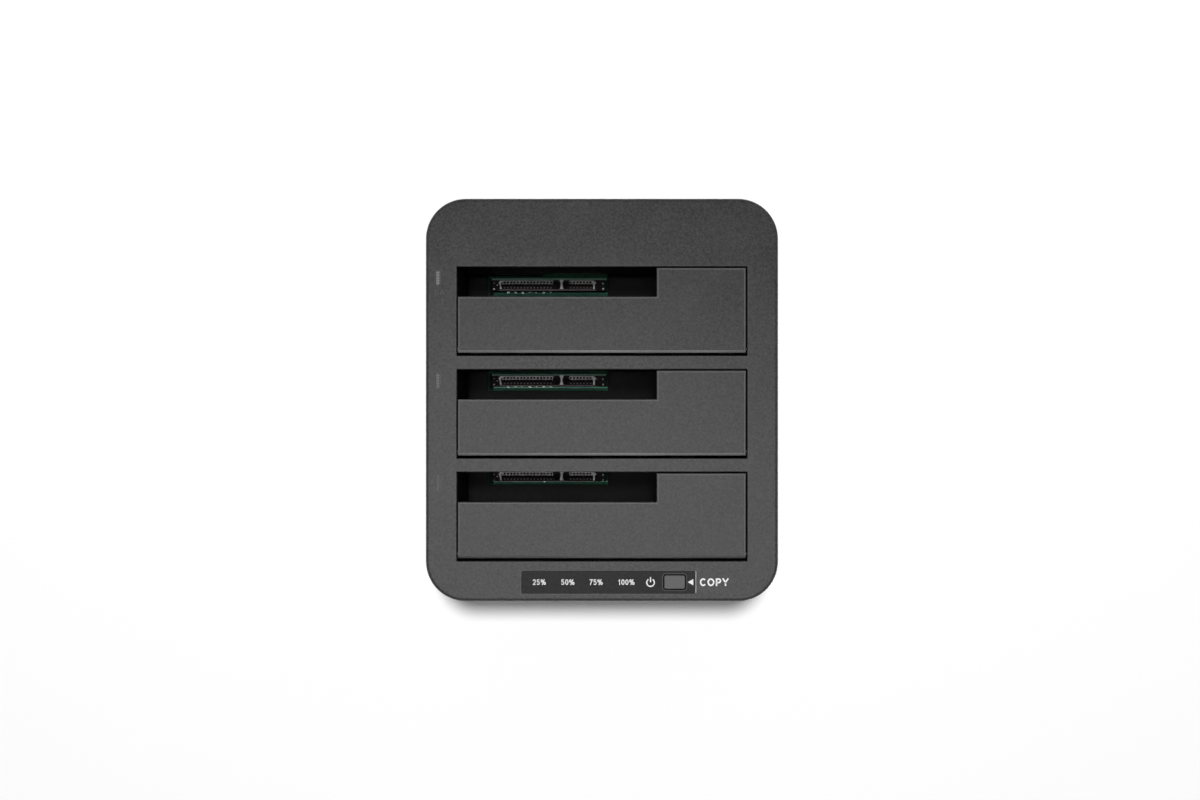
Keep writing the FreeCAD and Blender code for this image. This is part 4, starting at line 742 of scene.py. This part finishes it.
for bay in bays:
    socketLow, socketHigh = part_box(f"drive_connector_{bay}")
    boardTop = socketLow.z
    middle = (socketLow.y + socketHigh.y) / 2
    places = contactPlaces(f"connector_contacts_{bay}")
    pitch = places[1] - places[0]
    paintedLit = "" if bay == 1 else "Lit"  # painted light: the two front boards get brighter copies of their trim and edge finishes

    def contactTips(shape):  # the bent upper ends: a chain of small loops, one around each contact
        low, high = socketHigh.z - trim["tipHigh"], socketHigh.z + trim["tipRise"]
        y, steps = middle + trim["loopRow"], trim["loopSteps"]
        for i, x in enumerate(places):
            lean = (i % 3 - 1) * trim["lean"]
            outer = ovalPoints(x, y, trim["loopWide"], trim["loopDeep"], steps)
            hole = ovalPoints(x + lean, y - trim["holeShift"], trim["holeWide"], trim["holeDeep"], steps)
            addBand(shape, outer, hole, low, high)
        for x in [places[0] - pitch / 2] + [x + pitch / 2 for x in places]:
            addPrism(shape, outlineAt(x, y, linkOutline), low, high)

    def contactTeeth(shape):  # the faint second row along the sockets' front edge, and its rail
        low, high = socketHigh.z - trim["top"], socketHigh.z + trim["toothRise"]
        for x in places:
            addBox(shape, (x - trim["toothLeft"], middle - trim["toothFront"], low),
                   (x + trim["toothRight"], middle - trim["toothBack"], high), round=trim["toothRound"])
        addBox(shape, (places[0] - trim["railEnd"], socketLow.y - trim["toothRise"], low),
               (places[-1] + trim["railEnd"], socketLow.y + trim["railBack"], high), round=trim["railRound"])

    def socketBars(shape):  # hooked end bars and the waisted middle bar, painted pale as highlights on the connector
        low, high = socketHigh.z - trim["barSunk"], socketHigh.z + trim["barRise"]
        for x, outline in endBars:
            addPrism(shape, outlineAt(x * mm, middle, outline), low, high)
        x, depth = trim["middleBar"], trim["barDeep"]
        right = [(x + half * mm, middle + share * depth) for share, half in barWaist]
        left = [(x - half * mm, middle + share * depth) for share, half in reversed(barWaist)]
        addPrism(shape, right + left, low, high)

    def socketDots(shape):  # solder dots with a domed top, painted pale as highlights
        z, dot = socketHigh.z, dotForm
        for x, y, radius in dotPlaces:
            r = radius * mm
            domed = ((r, z - dot["foot"]), (r, z - dot["shoulder"]), (r * dot["domeShare"], z + dot["rise"]),
                     (0.0, z + dot["crown"]))
            addLathe(shape, domed, x * mm, middle + y * mm, dot["steps"])

    def solderMarks(shape):  # solder risen up the feet in front of the connector, bright on top
        y = socketLow.y - trim["markFront"]
        for i in range(trim["marks"]):
            x = trim["markFirst"] + i * trim["markPitch"]
            for x0, y0, x1, y1 in markStrokes[(i + 2 * bay) % len(markStrokes)]:
                line = outlineAt(x, y, ((x0, y0 * trim["markFlat"]), (x1, y1 * trim["markFlat"])))
                addStroke(shape, line, trim["markLine"], boardTop, boardTop + trim["markRise"])

    def addStrips(shape, strips):
        x0, x1 = socketLow.x - brink["left"], socketHigh.x + brink["right"]
        for front, back, rise, round in strips:
            addBox(shape, (x0, socketLow.y - front * mm, boardTop - brink["sunk"]),
                   (x1, socketLow.y - back * mm, boardTop + rise * mm), round=round * mm)

    def frontEdge(shape):  # the bright resist line in front of the connector
        addStrips(shape, edgeStrips)

    def frontResist(shape):  # bare resist between the connector and that line, and in front of it
        addStrips(shape, resistStrips)

    # contact tips in pale trim: their light tone, partly a painted highlight
    newPiece(f"contactTips{bay}", contactTips, "paleTrim" + paintedLit)
    newPiece(f"contactTeeth{bay}", contactTeeth, "socketTeeth")
    newPiece(f"socketBars{bay}", socketBars, "paleTrim" + paintedLit)
    newPiece(f"socketDots{bay}", socketDots, "solder", smooth=True)
    newPiece(f"solderMarks{bay}", solderMarks, "glint")
    newPiece(f"frontEdge{bay}", frontEdge, "boardEdge" + paintedLit)
    newPiece(f"frontResist{bay}", frontResist, "boardFront")
    boxPiece(f"rearEdgeHighlight{bay}",  # the light rear edge of the connector's top, a painted highlight
             (socketLow.x + brink["rearInset"], socketHigh.y - brink["rearFront"],
              socketHigh.z - trim["top"]),
             (socketHigh.x - brink["rearInset"], socketHigh.y - brink["rearBack"],
              socketHigh.z + brink["sunk"]), brink["sunk"], "socketEdge")
    boxPiece(f"endShade{bay}",  # a dark block beside the connector, painted shade over the board
             (socketLow.x - brink["coverLeft"], socketLow.y - brink["coverFront"], boardTop),
             (socketLow.x - brink["coverRight"], socketHigh.y + brink["coverBack"],
              boardTop + brink["coverHigh"]), brink["coverRound"], "connectorPlastic")

# a small part on the board that shows behind the first connector
smallPart = lengths(left=-23.6, right=-22.4, front=0.15, back=0.75, high=0.6, round=0.05)
low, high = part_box("drive_connector_1")
boxPiece("rearPart", (smallPart["left"], high.y + smallPart["front"], low.z),
         (smallPart["right"], high.y + smallPart["back"], low.z + smallPart["high"]), smallPart["round"],
         "paleTrim")
print("drive connectors dressed")


# Painted highlights on the flaps' edges

flapHighlight = lengths(step=71.1, depth=10.3, radius=1.0, skin=0.03, under=0.06, lipInset=0.1, front=1.1, line=0.3,
                  start=0.3, raised=0.015, round=0.01) | {"top": 86, "foot": 150, "steps": 10}
for bay in bays:
    flapLow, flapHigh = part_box(f"bay_flap_{bay}")

    def flapLip(shape):  # a painted highlight that follows the rounded front edge
        radius, inset = flapHighlight["radius"] + flapHighlight["skin"], flapHighlight["lipInset"]
        y, z = flapLow.y + flapHighlight["radius"], deckTop - flapHighlight["radius"]
        top, foot, steps = flapHighlight["top"], flapHighlight["foot"], flapHighlight["steps"]
        outer = arcPoints(y, z, radius, radius, top, foot, steps)
        radius -= flapHighlight["under"]
        inner = arcPoints(y, z, radius, radius, foot, top, steps)
        addTube(shape, [[shape.verts.new((x, py, pz)) for py, pz in outer + inner]
                        for x in (flapLow.x + inset, flapHigh.x - inset)])

    def flapLines(shape):  # painted highlight lines along the sides and around the small slot
        start, line = flapHighlight["start"], flapHighlight["line"]
        x0, x1 = flapLow.x + start, flapHigh.x - start
        y0, y1 = flapLow.y + flapHighlight["front"], flapHigh.y - start
        stepX, stepY = flapLow.x + flapHighlight["step"] + start, flapHigh.y - flapHighlight["depth"] - start
        low, high = deckTop - flapHighlight["skin"], deckTop + flapHighlight["raised"]
        for left, front, right, back in ((x0, y0, x0 + line, stepY), (x1 - line, y0, x1, y1),
                                         (x0 + line, stepY - line, stepX, stepY),
                                         (stepX, stepY - line, stepX + line, y1),
                                         (stepX + line, y1 - line, x1 - line, y1)):
            addBox(shape, (left, front, low), (right, back, high), round=flapHighlight["round"])

    # painted light: the two rear flaps get the brighter highlight
    highlightFinish, body = "lipRear" if bay < 3 else "lipFront", f"flap_{bay}"
    newPiece(f"flapLip{bay}", flapLip, highlightFinish, body, smooth=True)
    newPiece(f"flapLines{bay}", flapLines, "lipFront", body)
print("flap edge highlights painted")


# Flap springs: round wire whose coil winds up between the well and the flap

wire = lengths(radius=0.2, coil=1.25, leg=8.0, margin=0.05) | {"turns": 3.25, "steps": 28, "sides": 10}


def springPath(low, high):  # flap leg, coil around the hinge rod, wall leg
    x0, x1 = low.x + wire["radius"], high.x - wire["radius"]
    y = low.y + wire["coil"] + wire["radius"]
    z = high.z - wire["coil"] - wire["radius"]
    points = [Vector((x0, y + wire["leg"], z + wire["coil"]))]
    count = round(wire["turns"] * wire["steps"])
    for i in range(count + 1):
        angle = math.pi / 2 + 2 * math.pi * wire["turns"] * i / count
        points.append(Vector((x0 + (x1 - x0) * i / count, y + wire["coil"] * math.cos(angle),
                              z + wire["coil"] * math.sin(angle))))
    return points + [points[-1] - Vector((0, 0, wire["leg"]))]


def addWire(shape, points):
    rings = []
    for i, point in enumerate(points):
        along = (points[min(i + 1, len(points) - 1)] - points[max(i - 1, 0)]).normalized()
        first = along.cross(Vector((1, 0, 0))).normalized()
        second = along.cross(first)
        turns = [2 * math.pi * k / wire["sides"] for k in range(wire["sides"])]
        rings.append([shape.verts.new(point + (first * math.cos(a) + second * math.sin(a)) * wire["radius"])
                      for a in turns])
    addTube(shape, rings)


for bay in bays:
    low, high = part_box(f"flap_spring_{bay}")
    path = springPath(low, high)
    spring = newMesh(f"hingeSpring{bay}", lambda shape: addWire(shape, path), "springSteel", True)
    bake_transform(spring)
    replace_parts(spring, f"flap_spring_{bay}")
print("flap springs wound")


# Cross-recessed case screws, contacts and marks on the rear ports

screwLook = lengths(head=2.8, headHigh=2.2, shank=1.5, tip=0.6, ring=1.6, slot=0.32, deep=1.3)


def caseScrews(shape):
    low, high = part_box("case_screws")
    look = screwLook
    inset = look["head"] * math.cos(math.pi / 6)
    base, seat = low.z + look["deep"], low.z + look["headHigh"]
    for x in (low.x + inset, high.x - inset):
        for y in (low.y + look["head"], high.y - look["head"]):
            circle = ovalPoints(x, y, look["head"], look["head"])
            addPrism(shape, circle, base, seat)
            addBand(shape, circle, ovalPoints(x, y, look["ring"], look["ring"]), low.z, base)
            shank = ((look["shank"], seat), (look["shank"], high.z - look["tip"]), (0.0, high.z))
            addLathe(shape, shank, x, y, 20)
            for quarter in (0, 90, 180, 270):  # a wedge between two arms of the cross
                turn, reach = math.radians(quarter + 45), look["slot"] * 1.41
                inner = [(x + reach * math.cos(turn), y + reach * math.sin(turn))]
                sector = arcPoints(x, y, look["ring"], look["ring"], quarter + 12, quarter + 78, 5)
                addPrism(shape, inner + sector, low.z, base)


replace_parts(newPiece("crossScrews", caseScrews, "steel"), "case_screws")

usbLow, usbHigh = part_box("usb_insert")
tongue = lengths(end=1.3, length=6.5, floor=1.0, lowerLift=3.6, lowerHalf=1.6, step=7.6, upperLift=1.0,
                 upperHalf=0.4, skin=0.06, round=0.03)


def usbContacts(shape):  # two on top of the lower tongue, two under it, five on the upper one
    x, end = (usbLow.x + usbHigh.x) / 2, usbHigh.y - tongue["end"]
    lower = usbLow.z + tongue["floor"] + tongue["lowerLift"]
    upper = usbLow.z + tongue["floor"] + tongue["step"] + tongue["upperLift"]
    rows = [(dx, lower + tongue["lowerHalf"], 0.5) for dx in (-1.25, 1.25)]
    rows += [(dx, lower - tongue["lowerHalf"], 0.5) for dx in (-1.25, 1.25)]
    rows += [(dx, upper + tongue["upperHalf"], 0.2) for dx in (-1.4, -0.7, 0.0, 0.7, 1.4)]
    for dx, z, half in rows:
        addBox(shape, (x + (dx - half) * mm, end - tongue["length"], z - tongue["skin"]),
               (x + (dx + half) * mm, end, z + tongue["skin"]), round=tongue["round"])


newPiece("usbContacts", usbContacts, "goldContact")

jackLow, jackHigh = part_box("power_jack")
collar = lengths(outer=3.65, inner=3.2, sunk=0.05, raised=0.08) | {"steps": 36}


def jackRing(shape):  # the bright collar around the jack's mouth
    x, z = (jackLow.x + jackHigh.x) / 2, (jackLow.z + jackHigh.z) / 2
    outer, inner = (ovalPoints(x, z, radius, radius, collar["steps"])
                    for radius in (collar["outer"], collar["inner"]))
    addBand(shape, outer, inner, -collar["sunk"], collar["raised"])
    for vert in shape.verts:  # from lying flat to standing on the rear face
        vert.co = Vector((vert.co.x, jackHigh.y + vert.co.z, vert.co.y))


newPiece("jackRing", jackRing, "portSteel")

rockerFace = lengths(x=-27.0, y=67.8, z=24.5, crest=3.0, half=5.5, rise=0.386, mark=2.9, barHalf=0.22,
                     tall=1.25, hole=0.85, sunk=0.02, raised=0.03) | {"tilt": -8.0}


def rockerMarks(shape):  # a bar and a ring, the usual signs for on and off
    face = rockerFace
    low, high = -face["sunk"], face["raised"]
    mark, half, tall, hole = face["mark"], face["barHalf"], face["tall"], face["hole"]
    addPrism(shape, rectangle(-mark - half, -mark + half, -tall, tall), low, high)
    addBand(shape, ovalPoints(mark, 0, tall, tall), ovalPoints(mark, 0, hole, hole), low, high)
    turn = math.radians(face["tilt"])
    pivot = Vector((face["x"], face["y"], face["z"]))
    for vert in shape.verts:  # onto the tilted face of the rocker
        u, w, lift = vert.co
        y = face["crest"] + face["rise"] * abs(u) / face["half"] + lift
        vert.co = pivot + Vector((u * math.cos(turn) - y * math.sin(turn),
                                  u * math.sin(turn) + y * math.cos(turn), w))


newPiece("rockerMarks", rockerMarks, "printWhite", "rocker")
print("screws and ports dressed")


# Camera, floor, lamps and world

shot = {"position": (-0.0007, 0.0, 0.5466), "lens": 40.55, "sensor": 36.0}
cameraData = bpy.data.cameras.new("shotCamera")
cameraData.lens, cameraData.sensor_width = shot["lens"], shot["sensor"]
cameraData.clip_start, cameraData.clip_end = 0.01, 20.0
camera = addObject("shotCamera", cameraData)
camera.location = shot["position"]
scene.camera = camera

floorLook = {"half": 3.0, "below": 0.05 * mm, "colour": (0.97, 0.97, 0.97, 1.0),
             "mottle": (0.86, 0.86, 0.86, 1.0), "mottleShare": 0.02, "mottleScale": 40.0, "lift": 0.01}


def whiteFloor():
    material = bpy.data.materials.new("paleFloor")
    material.use_nodes = True
    tree = material.node_tree
    tree.nodes.clear()
    cloud = addNode(tree, "TexNoise", {"Scale": floorLook["mottleScale"], "Detail": 2.0}).outputs[0]
    share = maths(tree, "MULTIPLY", cloud, floorLook["mottleShare"])
    colour = mixColour(tree, share, floorLook["colour"], floorLook["mottle"])
    matte = addNode(tree, "BsdfDiffuse", {"Color": colour})
    rays = addNode(tree, "LightPath").outputs
    mirrored = maths(tree, "ADD", rays["Is Glossy Ray"], rays["Is Transmission Ray"])
    seen = maths(tree, "ADD", rays["Is Camera Ray"], mirrored, clamp=True)
    lift = addNode(tree, "Emission", {"Strength": maths(tree, "MULTIPLY", seen, floorLook["lift"])})
    both = addNode(tree, "AddShader", {0: matte.outputs[0], 1: lift.outputs[0]})
    below = addNode(tree, "NewGeometry").outputs["Backfacing"]
    hidden = maths(tree, "MULTIPLY", below, rays["Is Camera Ray"])  # from below, the floor lets the eye through
    glass = addNode(tree, "BsdfTransparent")
    surface = addNode(tree, "MixShader", {0: hidden, 1: both.outputs[0], 2: glass.outputs[0]})
    addNode(tree, "OutputMaterial", {"Surface": surface.outputs[0]})
    return material


floorMesh = bpy.data.meshes.new("floor")
sheet = bmesh.new()
bmesh.ops.create_grid(sheet, x_segments=8, y_segments=8, size=floorLook["half"])
sheet.to_mesh(floorMesh)
sheet.free()
floorMesh.materials.append(whiteFloor())
floor = addObject("floor", floorMesh)
floor.location.z = cadLow.z - floorLook["below"]

lampPlan = {
    "keyLamp": dict(tilt=-10.1, turn=0.0, far=2.0, wide=0.24, deep=0.24, power=34.0, gloss=False),
    "topLamp": dict(tilt=0.0, turn=0.0, far=2.2, wide=0.5, deep=0.5, power=5.6, gloss=False),
    "sheenLamp": dict(tilt=7.8, turn=-12.0, far=2.0, wide=1.6, deep=0.9, power=9.6, gloss=True),
}
for name, plan in lampPlan.items():
    lampData = bpy.data.lights.new(name, "AREA")
    lampData.shape, lampData.energy = "ELLIPSE", plan["power"]
    lampData.size, lampData.size_y = plan["wide"], plan["deep"]
    lamp = addObject(name, lampData)
    tilt, turn = math.radians(plan["tilt"]), math.radians(plan["turn"])
    aim = Vector((math.sin(tilt) * math.sin(turn), -math.sin(tilt) * math.cos(turn), math.cos(tilt)))
    lamp.location = aim * plan["far"]
    lamp.rotation_euler = aim.to_track_quat("Z", "Y").to_euler()
    lamp.visible_glossy = plan["gloss"]
    lamp.visible_diffuse = not plan["gloss"]

worldLook = {"zenith": 0.06, "zenithGloss": 0.25, "horizon": 1.0, "fadeFrom": 0.02, "fadeTo": 0.36}
world = bpy.data.worlds.new("studio")
world.use_nodes = True
tree = world.node_tree
background = next(n for n in tree.nodes if n.type == "BACKGROUND")
direction = addNode(tree, "TexCoord").outputs["Generated"]
height = addNode(tree, "SeparateXYZ", {0: direction}).outputs["Z"]
rays = addNode(tree, "LightPath").outputs
glossy = maths(tree, "ADD", rays["Is Glossy Ray"], rays["Is Transmission Ray"], clamp=True)
zenith = remap(tree, glossy, 0.0, 1.0, worldLook["zenith"], worldLook["zenithGloss"])
sky = remap(tree, height, worldLook["fadeFrom"], worldLook["fadeTo"], worldLook["horizon"], zenith)
tree.links.new(maths(tree, "MAXIMUM", sky, rays["Is Camera Ray"]), background.inputs["Strength"])
background.inputs["Color"].default_value = (1.0, 1.0, 1.0, 1.0)
scene.world = world
scene.view_settings.view_transform = "Standard"
print("camera, floor and lamps ready")
